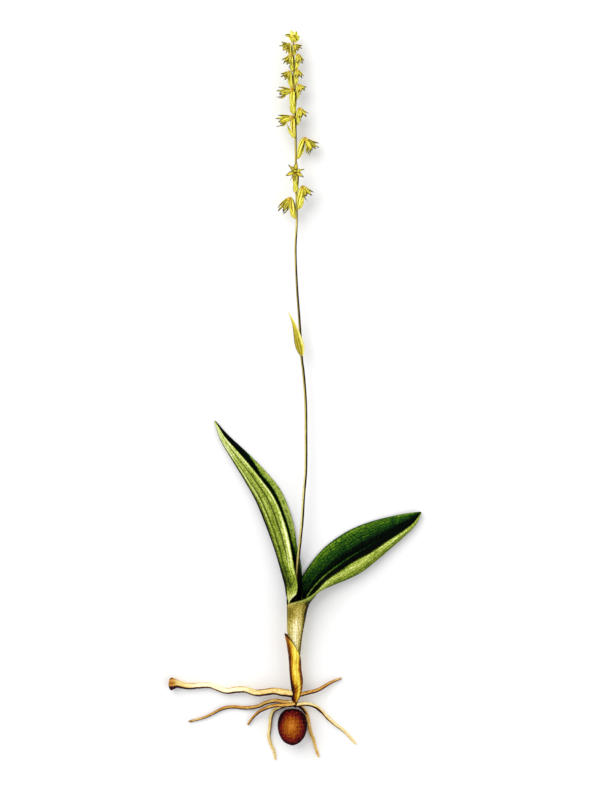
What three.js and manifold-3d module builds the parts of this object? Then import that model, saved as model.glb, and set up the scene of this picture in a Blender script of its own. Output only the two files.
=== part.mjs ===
// Musk orchid: one flowering plant, lifted with its tuber and roots, and laid on a surface.
// Millimetres. +Y runs from the tuber to the tip of the spike, +X to its right, and +Z up from the
// surface. The origin is the flat spot under the tuber.
import * as THREE from "three";
import { mergeVertices } from "three/addons/utils/BufferGeometryUtils.js";
import Module from "manifold-3d";

const wasm = await Module();
wasm.setup();

// Driving dimensions
const GAP = 0.3; // between neighbours that touch on the real plant
const FINEST = 0.01; // smallest detail that is kept where parts of a bloom grow together
const TUBER = { halfWidth: 4.5, halfLength: 5.7, halfDepth: 4.4, point: 0.06, center: [0.1, -0.2, 4.2] };
const CROWN = { halfWidth: 1.15, halfLength: 0.85, halfDepth: 1.15, center: [0.96, 6.7, 4.55] };
const SURFACE = { width: 20, depth: 4 }; // what the tuber is cut flat against
const AXIS_HEIGHT = 4.6; // of the sheaths above the surface
const FOOT_RADIUS = 0.38; // of the stem inside the sheaths
const STEM_RADIUS = 0.45;
const SPIKE_AXIS_RADIUS = 0.34;
const STEM_THICKENS = [34, 50]; // places up the stem between which it leaves the sheaths
const STEM_THINS = [60, 150]; // places up the stem between which it thins to the spike
const MOUTH = { low: 18.2, rise: 9.6, sharpness: 1.3 }; // of the basal sheath, from right to left
const LEAF_THICKNESS = 0.6;
const LEAF_TIP_THICKNESS = 0.3;
const LEAF_TIP_RADIUS = 0.2;
const LEAF_TIP_PLACE = 0.3; // share across the near half where the point of the tip runs
const SHEATH_WALL = 0.4;
const PETAL_THICKNESS = 0.6;
const ROOT_TIP_RADIUS = 0.3;
const KNOB = { halfWidth: 2.1, halfLength: 2.2, halfDepth: 1.9, center: [-35.2, 12.3, 1.95] };

// How finely the pieces are faceted
const ROOT_SIDES = 6;
const ROOT_STEPS_PER_POINT = 1.6;
const STEM_SIDES = 8;
const OVARY_SIDES = 12;
const LEAF_ROWS = 20;
const LEAF_COLUMNS = 10;
const SLOPE_STEP = 0.004; // share of a leaf over which its slope is taken

const X = new THREE.Vector3(1, 0, 0);
const Y = new THREE.Vector3(0, 1, 0);
const Z = new THREE.Vector3(0, 0, 1);

const { degToRad, lerp, smoothstep } = THREE.MathUtils;
const vector = ([x, y, z]) => new THREE.Vector3(x, y, z);
const curveThrough = (points) => new THREE.CatmullRomCurve3(points.map(vector), false, "centripetal");

// The way that a turn round the plant's length points, from 0 at the right by 90 at the front.
const sideways = (turn) => new THREE.Vector3(Math.cos(degToRad(turn)), 0, Math.sin(degToRad(turn)));

// The value at share t of a list that is spread evenly from 0 to 1.
function along(list, t) {
  const place = t * (list.length - 1);
  const i = Math.min(Math.floor(place), list.length - 2);
  return lerp(list[i], list[i + 1], place - i);
}

// Solids

function solidOf(geometry) {
  const bare = geometry.clone();
  bare.deleteAttribute("normal");
  bare.deleteAttribute("uv");
  const merged = mergeVertices(bare, 1e-5);
  return new wasm.Manifold(
    new wasm.Mesh({
      numProp: 3,
      vertProperties: new Float32Array(merged.attributes.position.array),
      triVerts: new Uint32Array(merged.index.array),
    }),
  );
}

function geometryOf(solid) {
  const { vertProperties, triVerts } = solid.getMesh();
  const geometry = new THREE.BufferGeometry();
  geometry.setAttribute("position", new THREE.BufferAttribute(new Float32Array(vertProperties), 3));
  geometry.setIndex(new THREE.BufferAttribute(new Uint32Array(triVerts), 1));
  geometry.computeVertexNormals();
  return geometry;
}

const fused = (solids) => solids.reduce((whole, solid) => whole.add(solid));

function egg({ halfWidth, halfLength, halfDepth, center }, sides = 8, rings = 6, point = 0) {
  const geometry = new THREE.SphereGeometry(1, sides, rings);
  const position = geometry.attributes.position;
  for (let i = 0; i < position.count; i++) {
    const narrowing = 1 + point * position.getY(i);
    position.setX(i, position.getX(i) * halfWidth * narrowing + center[0]);
    position.setZ(i, position.getZ(i) * halfDepth + center[2]);
    position.setY(i, position.getY(i) * halfLength + center[1]);
  }
  return solidOf(geometry);
}

// A cylinder bent along a curve. radiusAt gives the radius at each share of the way and each corner.
function sweep(curve, radiusAt, sides, steps) {
  const geometry = new THREE.CylinderGeometry(1, 1, 1, sides, steps);
  const position = geometry.attributes.position;
  for (let i = 0; i < position.count; i++) {
    const t = position.getY(i) + 0.5;
    const angle = Math.atan2(position.getZ(i), position.getX(i));
    const corner = Math.round((angle / (2 * Math.PI)) * sides + sides) % sides;
    const heading = curve.getTangent(t);
    const side = new THREE.Vector3().crossVectors(Math.abs(heading.z) > 0.8 ? X : Z, heading).normalize();
    const up = new THREE.Vector3().crossVectors(side, heading);
    const radius = Math.hypot(position.getX(i), position.getZ(i)) * radiusAt(t, corner);
    const point = curve
      .getPoint(t)
      .addScaledVector(side, radius * Math.cos(angle))
      .addScaledVector(up, radius * Math.sin(angle));
    position.setXYZ(i, point.x, point.y, point.z);
  }
  return solidOf(geometry);
}

// Two skins over the same grid, closed by a rim, with both skins split into triangles alike.
// skinPoint takes the shares along and across, and 1 or -1 for the skin.
function shell(skinPoint, rows, columns, goesRound = false) {
  const stride = goesRound ? columns : columns + 1;
  const points = [];
  for (const face of [1, -1])
    for (let i = 0; i <= rows; i++)
      for (let j = 0; j < stride; j++)
        points.push(skinPoint(i / rows, j / columns, face));
  const under = (rows + 1) * stride;
  const at = (i, j) => i * stride + (j % stride);
  const faces = [];
  const quad = (a, b, c, d) => faces.push(a, b, c, a, c, d);
  for (let i = 0; i < rows; i++)
    for (let j = 0; j < columns; j++) {
      const [a, b, c, d] = [at(i, j), at(i + 1, j), at(i + 1, j + 1), at(i, j + 1)];
      faces.push(a, b, c, a, c, d);
      faces.push(c + under, b + under, a + under, d + under, c + under, a + under);
    }
  for (let j = 0; j < columns; j++) {
    quad(at(0, j), at(0, j + 1), at(0, j + 1) + under, at(0, j) + under);
    quad(at(rows, j + 1), at(rows, j), at(rows, j) + under, at(rows, j + 1) + under);
  }
  if (!goesRound)
    for (let i = 0; i < rows; i++) {
      quad(at(i + 1, 0), at(i, 0), at(i, 0) + under, at(i + 1, 0) + under);
      quad(at(i, columns), at(i + 1, columns), at(i + 1, columns) + under, at(i, columns) + under);
    }
  const geometry = new THREE.BufferGeometry().setFromPoints(points);
  geometry.setIndex(faces);
  if (isInsideOut(points, faces)) geometry.setIndex(faces.reverse());
  return solidOf(geometry);
}

function isInsideOut(points, faces) {
  let volume = 0;
  for (let i = 0; i < faces.length; i += 3) {
    const [a, b, c] = [points[faces[i]], points[faces[i + 1]], points[faces[i + 2]]];
    volume += a.dot(new THREE.Vector3().crossVectors(b, c));
  }
  return volume < 0;
}

// Underground: tuber, stolon and roots

function tuber() {
  const { width, depth } = SURFACE;
  const surface = new THREE.BoxGeometry(width, width, depth).translate(0, 0, -depth / 2);
  return egg(TUBER, 18, 12, TUBER.point).subtract(solidOf(surface));
}

const STOLON_LINE = curveThrough([
  [-0.3, 9.7, 4.5], [-2.7, 10.0, 4.4], [-5.4, 10.4, 4.0], [-8.0, 10.0, 3.5], [-10.7, 9.7, 3.0],
  [-14.1, 10.6, 2.4], [-16.8, 10.5, 1.9], [-19.8, 10.1, 1.6], [-22.5, 11.0, 1.35],
  [-24.6, 11.7, 1.25], [-27.6, 11.7, 1.2], [-31.5, 11.5, 1.25], [-34.5, 12.2, 1.6],
]);
const STOLON_RADII = [1.1, 1.15, 1.05, 1.05, 1.0, 0.9, 0.95, 0.85, 0.85, 0.8, 0.85, 0.95, 1.1];

function stolon(neighbour) {
  const shoot = sweep(STOLON_LINE, (t) => along(STOLON_RADII, t), STEM_SIDES, 18);
  return fused([shoot, egg(KNOB, 10, 8)]).subtract(neighbour);
}

// Each root's way from the crown to its tip, and its radius there.
const ROOTS = [
  {
    radius: 0.72,
    way: [
      [2.6, 9.4, 4.3], [4.6, 9.8, 3.6], [7.8, 10.5, 2.2], [11.7, 12.6, 1.2], [15.0, 13.9, 0.6],
    ],
  },
  {
    radius: 0.62,
    way: [
      [-0.1, 7.0, 4.3], [-2.4, 7.1, 3.6], [-4.8, 7.3, 2.5], [-7.5, 6.7, 1.7],
      [-10.7, 5.3, 1.0], [-14.1, 4.9, 0.7], [-17.7, 5.2, 0.7], [-20.9, 4.7, 0.7],
      [-23.5, 3.4, 0.7], [-26.7, 1.9, 0.6], [-31.3, 0.7, 0.45],
    ],
  },
  {
    radius: 0.64,
    way: [
      [-0.1, 6.5, 5.6], [-2.4, 6.3, 5.4], [-4.8, 6.2, 4.6], [-7.5, 5.3, 3.4],
      [-10.2, 3.7, 2.0], [-12.0, 1.8, 1.0], [-13.4, -0.3, 0.5],
    ],
  },
  {
    radius: 0.6,
    way: [
      [0.3, 6.3, 3.1], [-1.8, 5.9, 2.4], [-3.7, 5.1, 1.4], [-5.6, 3.9, 0.8], [-6.4, 1.8, 0.62],
      [-6.7, -0.9, 0.62], [-7.0, -3.6, 0.6], [-6.4, -6.0, 0.6], [-5.5, -8.1, 0.55],
      [-5.0, -10.8, 0.45],
    ],
  },
  {
    radius: 0.62,
    way: [
      [1.6, 6.2, 3.4], [2.9, 5.2, 2.1], [4.3, 3.2, 1.0], [4.95, 0.6, 0.65], [5.5, -2.2, 0.65],
      [6.5, -4.8, 0.65], [7.2, -7.5, 0.6], [8.1, -10.0, 0.55],
    ],
  },
  {
    radius: 0.62,
    way: [
      [1.7, 6.4, 4.9], [3.4, 6.6, 4.6], [5.2, 6.4, 4.0], [6.9, 5.7, 3.2], [8.9, 4.0, 2.0],
      [11.0, 1.7, 1.1], [13.1, -0.1, 0.7], [15.8, -2.2, 0.5], [18.4, -5.0, 0.4],
      [19.3, -6.1, 0.35],
    ],
  },
];

function root({ radius, way }, neighbour) {
  const taper = (t) => lerp(radius, ROOT_TIP_RADIUS, t ** 2);
  const steps = Math.round(way.length * ROOT_STEPS_PER_POINT);
  return sweep(curveThrough(way), taper, ROOT_SIDES, steps).subtract(neighbour);
}

// Stem, from the crown on the tuber to the tip of the spike. It stands inside the sheaths up to Y 35.

const STEM_LINE = curveThrough([
  [0.96, 6.4, 4.55], [1.0, 7.8, 4.6], [1.2, 9.3, 4.6], [1.38, 11.5, 4.6], [1.2, 14.4, 4.6],
  [0.88, 17.5, 4.6], [0.95, 21.5, 4.6], [0.95, 28, 4.6], [1.1, 36, 4.7], [1.5, 45, 4.9],
  [1.85, 50, 4.9], [2.4, 55, 4.9], [3.1, 62, 4.8], [3.5, 69, 4.7], [4.1, 76, 4.6],
  [4.2, 88, 4.5], [4.1, 97, 4.4], [3.45, 106, 4.4], [2.95, 110, 4.4], [2.7, 114.5, 4.4],
  [2.15, 122.7, 4.4], [1.5, 131.5, 4.4], [1.05, 142.8, 4.4], [1.4, 152, 4.4], [1.15, 166, 4.4],
  [1.05, 179, 4.4], [0.6, 193, 4.2], [0.3, 203, 4.0],
]);

function stem() {
  const radiusAt = (t) => {
    const { y } = STEM_LINE.getPoint(t);
    const lower = lerp(FOOT_RADIUS, STEM_RADIUS, smoothstep(y, ...STEM_THICKENS));
    return lerp(lower, SPIKE_AXIS_RADIUS, smoothstep(y, ...STEM_THINS));
  };
  return fused([sweep(STEM_LINE, radiusAt, STEM_SIDES, 36), egg(CROWN, 10, 6)]);
}

function stemAt(y) {
  let [low, high] = [0, 1];
  for (let i = 0; i < 30; i++) {
    const middle = (low + high) / 2;
    if (STEM_LINE.getPoint(middle).y < y) low = middle;
    else high = middle;
  }
  return STEM_LINE.getPoint(low);
}

// Basal sheath: a scale leaf round the foot, open at a slanting mouth that rises to a point on the left.
// Each station is a place up the stem, the middle of the tube there and its outer radius.

const BASAL_SHEATH = [
  [7.9, 0.98, 1.2], [9.2, 1.2, 1.4], [11, 1.4, 1.65], [12.7, 1.35, 1.85], [14.4, 1.2, 1.9],
  [16.8, 0.9, 1.8], [18.9, 0.85, 1.8], [21.3, 1.0, 2.1], [24.7, 0.9, 2.5], [27.9, 0.9, 3.25],
];

function basalSheath() {
  const places = BASAL_SHEATH.map((station) => station[0]);
  const bottom = places[0];
  const valueAt = (y, channel) => {
    const i = Math.max(0, Math.min(places.length - 2, places.findIndex((place) => place > y) - 1));
    const share = Math.min(1, (y - places[i]) / (places[i + 1] - places[i]));
    return lerp(BASAL_SHEATH[i][channel], BASAL_SHEATH[i + 1][channel], share);
  };
  const mouth = (angle) => MOUTH.low + MOUTH.rise * Math.abs(Math.sin(angle / 2)) ** MOUTH.sharpness;
  return shell((t, around, face) => {
    const angle = around * 2 * Math.PI;
    const y = lerp(bottom, mouth(angle), t);
    const radius = valueAt(y, 2) - (face < 0 ? SHEATH_WALL : 0);
    const center = valueAt(y, 1);
    return new THREE.Vector3(center + radius * Math.cos(angle), y, AXIS_HEIGHT + radius * Math.sin(angle));
  }, 8, 16, true);
}

// Leaves. Each is one sheet: rolled round the stem as a sheath below, and open above.
// Across it, s runs from -1 at the far margin, by 0 at the midrib, to 1 at the near margin.
// The near half bulges out and curls back over the far half, which lies flat.

const OPENING = 0.1; // share of the leaf's length over which the sheath opens
const FAR_ARCH = 0.05; // rise of the far half where it lies flat, as a share of its width
const THINNING = 0.86; // share of the length where the blade starts to thin to the tip
const BLADE_END = 0.955; // share of the length where only the point of the tip goes on
const FLATTENING = 0.22; // share of the blade over which the far half goes from hollow to flat

// sheath: axis and middle radius. The margins, the midrib and the bulge start where the sheath opens.
// nearClosed and farClosed are how far each half of the sheath goes round from the midrib.
const LEAF_RIGHT = {
  turn: 1,
  midribAngle: degToRad(-35),
  nearClosed: degToRad(205),
  farClosed: degToRad(146),
  hollow: 0.8,
  closedShare: 0.35,
  sheath: [
    [1.25, 13.5, 4.6, 0.9], [0.88, 16.8, 4.6, 0.9], [0.88, 19.0, 4.6, 0.95],
    [1.02, 21.5, 4.6, 1.22], [1.0, 24.7, 4.6, 1.58], [0.9, 28, 4.6, 2.15],
    [1.2, 31.6, 4.6, 2.55], [1.55, 35, 4.6, 2.9], [1.9, 37.3, 4.5, 3.6], [2.6, 39.2, 4.3, 4.5],
  ],
  nearMargin: [
    [1.6, 37.2, 8.3], [6.5, 40.2, 7.4], [10.1, 43.7, 6.7], [14.5, 46.7, 6.0],
    [18.3, 49.4, 5.4], [23.5, 52.2, 4.7], [28.6, 55.4, 3.9], [33.1, 58.3, 3.1],
    [36.7, 61.1, 2.3], [38.9, 63.9, 1.7],
  ],
  bulge: [
    [5.6, 37.5, 5.8], [7.9, 40.3, 4.3], [12.2, 42.3, 3.6], [16.5, 44.0, 3.2],
    [20.8, 46.2, 2.9], [25.5, 49.8, 2.6], [30.1, 53.7, 2.2], [34.1, 57.2, 1.9],
    [37.2, 60.4, 1.7], [38.95, 63.8, 1.5],
  ],
  midrib: [
    [4.9, 37.9, 1.7], [6.7, 40.9, 0.9], [9.9, 44.1, 0.5], [14.0, 47.2, 0.34],
    [18.0, 49.9, 0.34], [23.0, 52.8, 0.34], [28.2, 56.1, 0.45], [32.5, 59.0, 0.8],
    [36.2, 61.4, 1.2], [38.85, 64.0, 1.4],
  ],
  farMargin: [
    [-1.4, 38.2, 2.0], [1.4, 42.0, 0.9], [5.7, 48.6, 0.5], [9.6, 53.1, 0.4], [13.4, 56.1, 0.4],
    [17.9, 58.8, 0.4], [24.1, 61.2, 0.5], [29.5, 62.6, 0.8], [34.3, 63.6, 1.1],
    [38.7, 64.2, 1.4],
  ],
};

const LEAF_LEFT = {
  turn: -1,
  midribAngle: degToRad(190),
  nearClosed: degToRad(15),
  farClosed: degToRad(174),
  hollow: 0.95,
  closedShare: 0.15,
  sheath: [
    [0.95, 25.5, 4.6, 0.92], [0.95, 28, 4.6, 1.2], [1.1, 31.6, 4.6, 1.55],
    [1.25, 35.5, 4.65, 1.85], [0.95, 38.2, 4.95, 2.0], [0.5, 41.2, 5.0, 2.3],
  ],
  nearMargin: [
    [1.3, 39.4, 6.6], [1.7, 42.0, 6.7], [0.8, 47.0, 6.7], [-0.3, 53.5, 6.4], [-2.0, 60.3, 6.0],
    [-5.5, 69.0, 5.5], [-10.3, 75.5, 4.8], [-15.4, 81.3, 3.6], [-20.2, 86.8, 2.2],
    [-23.25, 91.5, 1.1],
  ],
  bulge: [
    [-1.3, 39.2, 4.9], [-1.6, 42.0, 4.9], [-3.0, 47.0, 4.3], [-4.8, 53.0, 3.6],
    [-7.3, 60.0, 3.1], [-10.6, 67.9, 2.8], [-13.8, 73.5, 2.5], [-17.8, 79.9, 2.0],
    [-21.5, 86.1, 1.4], [-23.35, 91.4, 0.9],
  ],
  midrib: [
    [-1.1, 39.0, 3.7], [-1.5, 41.6, 3.4], [-2.5, 46.5, 2.5], [-4.0, 53.0, 1.6],
    [-6.4, 60.0, 0.9], [-9.5, 68.3, 0.45], [-12.8, 74.0, 0.34], [-17.1, 80.4, 0.34],
    [-21.1, 86.4, 0.45], [-23.35, 91.45, 0.75],
  ],
  farMargin: [
    [3.0, 39.8, 3.5], [3.1, 42.9, 3.2], [2.8, 48.0, 2.8], [1.6, 53.5, 2.0], [0.4, 60.6, 1.2],
    [-3.2, 70.2, 0.6], [-8.3, 76.7, 0.4], [-13.8, 82.2, 0.4], [-19.3, 87.3, 0.5],
    [-23.1, 91.55, 0.8],
  ],
};

function sheathPoint(leaf, t, s) {
  const share = Math.min(1, t / (leaf.closedShare + OPENING));
  const axis = curveThrough(leaf.sheath).getPoint(share);
  const radius = along(leaf.sheath.map((station) => station[3]), share);
  const angle = leaf.midribAngle + leaf.turn * s * (s > 0 ? leaf.nearClosed : leaf.farClosed);
  return axis.add(new THREE.Vector3(radius * Math.cos(angle), 0, radius * Math.sin(angle)));
}

function bladeLine(leaf, name, s) {
  const mouth = sheathPoint(leaf, leaf.closedShare, s).toArray();
  return curveThrough([mouth, ...leaf[name]]);
}

function leafSurface(leaf) {
  const far = bladeLine(leaf, "farMargin", -1);
  const midrib = bladeLine(leaf, "midrib", 0);
  const bulge = bladeLine(leaf, "bulge", 0.5);
  const near = bladeLine(leaf, "nearMargin", 1);
  const bladePoint = (t, s) => {
    const rib = midrib.getPoint(t);
    const margin = (s < 0 ? far : near).getPoint(t);
    const middle = rib.clone().lerp(margin, 0.5);
    const control = middle.clone();
    const arch = lerp(-leaf.hollow, FAR_ARCH, smoothstep(t, 0, FLATTENING));
    if (s < 0) control.z += arch * rib.distanceTo(margin);
    else control.add(bulge.getPoint(t).setZ(middle.z).sub(middle).multiplyScalar(2));
    return new THREE.QuadraticBezierCurve3(rib, control, margin).getPoint(Math.abs(s));
  };
  return (t, s) => {
    const openness = smoothstep(t, leaf.closedShare, leaf.closedShare + OPENING);
    const share = Math.max(0, (t - leaf.closedShare) / (1 - leaf.closedShare));
    return sheathPoint(leaf, t, s).lerp(bladePoint(share, s), openness);
  };
}

// A half of the leaf, between two of its lines lengthwise. Line 0 is the midrib, and the line numbered
// half of LEAF_COLUMNS is a margin.
function leafHalf(shape, firstLine, lastLine) {
  const surface = leafSurface(shape);
  return shell((lengthShare, widthShare, face) => {
    const t = lengthShare * BLADE_END;
    const s = Math.round(lerp(firstLine, lastLine, widthShare)) / (LEAF_COLUMNS / 2);
    const [before, after] = [Math.max(0, t - SLOPE_STEP), Math.min(1, t + SLOPE_STEP)];
    const lengthwise = surface(after, s).sub(surface(before, s));
    const crosswise = surface(t, s + SLOPE_STEP).sub(surface(t, s - SLOPE_STEP));
    const normal = new THREE.Vector3().crossVectors(lengthwise, crosswise).normalize();
    const thinned = smoothstep(t, THINNING, BLADE_END);
    const bladeThickness = lerp(LEAF_THICKNESS, LEAF_TIP_THICKNESS, thinned);
    const thickness = lerp(SHEATH_WALL, bladeThickness, smoothstep(t, 0, shape.closedShare));
    return surface(t, s).addScaledVector(normal, (face * thickness) / 2);
  }, LEAF_ROWS, lastLine - firstLine);
}

// The halves share one strip beside the midrib, and close up in a solid point at the tip.
function leaf(shape) {
  const margin = LEAF_COLUMNS / 2;
  const surface = leafSurface(shape);
  const tipShares = [lerp(THINNING, BLADE_END, 0.5), BLADE_END, 1];
  const tipLine = curveThrough(tipShares.map((t) => surface(t, LEAF_TIP_PLACE).toArray()));
  const tip = sweep(tipLine, (t) => lerp(LEAF_THICKNESS, LEAF_TIP_RADIUS, t), ROOT_SIDES, 3);
  return fused([leafHalf(shape, -margin, 0), leafHalf(shape, -1, margin), tip]);
}

// A small pointed blade along a curve. facing is the way that its upper skin looks, and cup lowers its
// edges.
function blade(curve, facing, widths, rows = 3, columns = 1, cup = 0) {
  return shell((t, widthShare, face) => {
    const s = widthShare * 2 - 1;
    const heading = curve.getTangent(t);
    const crosswise = new THREE.Vector3().crossVectors(heading, facing).normalize();
    const upward = new THREE.Vector3().crossVectors(crosswise, heading);
    const halfWidth = along(widths, t) / 2;
    return curve
      .getPoint(t)
      .addScaledVector(crosswise, s * halfWidth)
      .addScaledVector(upward, (face * PETAL_THICKNESS) / 2 - cup * s * s * halfWidth);
  }, rows, columns);
}

function stemBract() {
  const line = curveThrough([
    [2.85, 111.3, 5.65], [2.5, 113.3, 5.85], [1.9, 115.6, 5.95], [1.25, 118.3, 5.85],
    [0.3, 121.2, 5.45], [-1.05, 124.1, 4.9],
  ]);
  return blade(line, Z, [0.8, 2.0, 2.7, 2.3, 1.5, 0.5], 8, 2, 0.5);
}

// Blooms
// place: how far up the plant the foot is.
// side: the turn round the spike at which the bloom stands, and face: the turn to which its flower looks.
// size: of the ovary and bract, and bell: the length of the flower, both as shares of a full one.
// nod: how far the flower points below sideways, and twist: its own turn.
// lean: how far the neck stands out from the spike, and open: how widely the tips spread.
// bractSide: the turn at which the bract stands, where that isn't the bloom's side.

const BLOOMS = [
  { place: 152.7, side: 146, face: 180, size: 1.08, bell: 1.36, nod: 55, lean: 1, open: 0.08 },
  { place: 155.5, side: 40, face: 5, size: 1.2, bell: 1, nod: 58, lean: 0.7, open: 0.3 },
  { place: 160.3, side: 96, face: 92, size: 1.2, bell: 0.92, nod: 2, lean: 0.8, open: 1, twist: -10 },
  { place: 170.7, side: -8, face: -8, size: 1.1, bell: 1.5, nod: 50, lean: 1.3, open: 0.4 },
  {
    place: 176.9, side: 116, face: 182, size: 1.12, bell: 1.38, nod: 12,
    lean: 0.6, open: 0.2, bractSide: 182,
  },
  { place: 180.6, side: 42, face: 2, size: 0.88, bell: 0.9, nod: 64, lean: 0.3, open: 0.3 },
  { place: 183.9, side: 112, face: 180, size: 1.35, bell: 1.32, nod: 8, lean: 0.1, open: 0.15 },
  { place: 188.2, side: 36, face: 0, size: 0.8, bell: 0.68, nod: 54, lean: 0.2, open: 0.3 },
  { place: 191.8, side: 154, face: 165, size: 0.88, bell: 0.8, nod: 52, lean: 0.1, open: 0.35 },
  { place: 192.6, side: 52, face: 8, size: 0.8, bell: 0.74, nod: 74, lean: 0, open: 0.2 },
  { place: 196.6, side: 118, face: 172, size: 0.88, bell: 0.92, nod: 60, lean: 0.1, open: 0.3 },
  { place: 197.1, side: 30, face: 12, size: 0.82, bell: 0.76, nod: 78, lean: 0, open: 0.15 },
  { place: 201.1, side: 156, face: 140, size: 0.7, bell: 0.8, nod: 30, lean: 0, open: 0.55 },
  { place: 201.4, side: 58, face: 20, size: 0.58, bell: 0.62, nod: 50, lean: 0, open: 0.35 },
  { place: 180.6, side: 272, face: 272, size: 0.55, bell: 0.6, nod: 45, lean: 0.5, open: 0.25 },
  { place: 190, side: 264, face: 264, size: 0.55, bell: 0.6, nod: 45, lean: 0.5, open: 0.25 },
];

const SEPAL = { length: 3.0, bow: 1.3, widths: [0.4, 1.0, 0.3] };
const PETAL = { length: 3.5, bow: 1.2, widths: [0.4, 0.9, 0.25] };
const LIP = { length: 3.9, bow: 1.9, widths: [0.38, 0.7, 1.9, 0.6, 0.3] };
const TEPALS = [
  { turn: 0, ...SEPAL },
  { turn: 120, ...SEPAL },
  { turn: -120, ...SEPAL },
  { turn: 60, ...PETAL },
  { turn: -60, ...PETAL },
  { turn: 180, ...LIP },
];
const OVARY_GIRTH = [0.35, 0.74, 0.82, 0.6, 0.5];
const OVARY_GROOVE = 0.84; // the radius in a groove, as a share of that on a rib
const THROAT_RADIUS = 0.64; // of the heart of the flower, round which the tepals start
const NARROWEST_BELL = 0.55; // width of the flower, as a share of a full one, where bell nears 0
const CLOSED_SPREAD = 0.8; // how far out the tips of a closed flower stand from its axis
const OPEN_SPREAD = 2.2; // how much farther out those of an open flower stand

function bloom(shape) {
  const { place, side, face, size, bell, nod, lean, open, twist = 0, bractSide = side } = shape;
  const out = sideways(side);
  const gaze = sideways(face);
  const foot = stemAt(place).addScaledVector(out, SPIKE_AXIS_RADIUS + GAP);
  const from = (outward, outShare, upShare) =>
    foot.clone().addScaledVector(outward, outShare * size).addScaledVector(Y, upShare * size);
  const at = (outShare, upShare) => from(out, outShare, upShare);

  const neck = at(1.4 + 0.6 * lean, 5.0);
  const heart = neck.clone().addScaledVector(gaze, 0.36 * size).addScaledVector(Y, -0.2 * size);
  const ovaryLine = new THREE.CatmullRomCurve3([
    at(0.4, 0), at(0.8, 1.7), at(1 + 0.2 * lean, 3.4), at(1.15 + 0.4 * lean, 4.5), neck,
  ]);
  const bellWidth = lerp(NARROWEST_BELL, 1, bell);
  const ovaryRadius = (t, corner) => {
    const rib = corner % 2 ? OVARY_GROOVE : 1;
    return along(OVARY_GIRTH, t) * rib * lerp(size, bellWidth, t ** 4);
  };
  const ovary = sweep(ovaryLine, ovaryRadius, OVARY_SIDES, 4);
  const radius = THROAT_RADIUS * bellWidth;
  const throat = egg({ halfWidth: radius, halfLength: radius, halfDepth: radius, center: heart.toArray() }, 8, 4);

  const across = new THREE.Vector3().crossVectors(gaze, Y);
  const axis = gaze.clone().applyAxisAngle(across, degToRad(-nod));
  const upper = Y.clone().applyAxisAngle(across, degToRad(-nod));
  const placed = (forward, outward, radial) =>
    heart.clone().addScaledVector(axis, forward * bell).addScaledVector(radial, outward * bellWidth);

  const tepals = TEPALS.map(({ turn, length, bow, widths }) => {
    const angle = degToRad(turn + twist);
    const radial = upper.clone().multiplyScalar(Math.cos(angle)).addScaledVector(across, Math.sin(angle));
    const line = new THREE.QuadraticBezierCurve3(
      placed(0, THROAT_RADIUS, radial),
      placed(0.55 * length, bow, radial),
      placed(length * (1 - 0.45 * open), CLOSED_SPREAD + OPEN_SPREAD * open, radial),
    );
    return blade(line, radial, widths.map((width) => width * bellWidth), widths.length - 1);
  });

  const bractOut = sideways(bractSide);
  const bractLine = new THREE.CatmullRomCurve3([
    from(bractOut, 0.5, 0.1), from(bractOut, 1.35, 0.9), from(bractOut, 1.85, 2.0), from(bractOut, 2.1, 3.1),
  ]);
  const bract = blade(bractLine, bractOut, [0.8, 1.1, 0.8, 0.3].map((width) => width * size));
  return largestPart(fused([ovary, throat, bract, ...tepals]).simplify(FINEST));
}

function largestPart(solid) {
  const parts = solid.decompose();
  return parts.reduce((best, part) => (part.volume() > best.volume() ? part : best));
}

// Closed buds at the tip of the spike, on a short axis
const BUDS = [
  { center: [-0.1, 207.75, 4.2], halfLength: 0.95, halfWidth: 0.72, halfDepth: 0.72 },
  { center: [1.0, 207.5, 4.5], halfLength: 0.95, halfWidth: 0.75, halfDepth: 0.75 },
  { center: [1.5, 206.4, 4.2], halfLength: 0.95, halfWidth: 0.75, halfDepth: 0.75 },
  { center: [0.5, 206.6, 5.2], halfLength: 0.9, halfWidth: 0.8, halfDepth: 0.8 },
  { center: [-0.3, 206.4, 4.7], halfLength: 0.95, halfWidth: 0.7, halfDepth: 0.7 },
  { center: [1.0, 205.8, 4.8], halfLength: 0.85, halfWidth: 0.7, halfDepth: 0.7 },
  { center: [-1.3, 207.25, 4.3], halfLength: 0.42, halfWidth: 0.75, halfDepth: 0.42 },
  { center: [0.3, 206.2, 3.5], halfLength: 1.1, halfWidth: 0.75, halfDepth: 0.75 },
];

function budCluster() {
  const line = curveThrough([[0.28, 203.3, 4.0], [0.25, 205.2, 4.0], [0.2, 206.8, 4.1]]);
  const axis = sweep(line, () => SPIKE_AXIS_RADIUS, STEM_SIDES, 2);
  return fused([axis, ...BUDS.map((bud) => egg(bud, 6, 4))]);
}

// Assembly

const plant = new THREE.Group();

function addPiece(name, solid, color, roughness = 0.6) {
  const mesh = new THREE.Mesh(geometryOf(solid), new THREE.MeshStandardMaterial({ color, roughness }));
  mesh.name = name;
  plant.add(mesh);
}

// What the roots and the stolon are cut against: the crown and the basal sheath, larger by the gap.
const ROOM_SIDES = 16;
const CROWN_ROOM_LINE = [[0.96, 5, 4.55], [0.96, 8, 4.55]];
const sheathFoot = BASAL_SHEATH.slice(0, 6);
const crownRoom = fused([
  sweep(curveThrough(CROWN_ROOM_LINE), () => CROWN.halfWidth + GAP, ROOM_SIDES, 1),
  sweep(
    curveThrough(sheathFoot.map(([y, x]) => [x, y, AXIS_HEIGHT])),
    (t) => along(sheathFoot.map((station) => station[2]), t) + GAP,
    ROOM_SIDES,
    10,
  ),
]);

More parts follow.
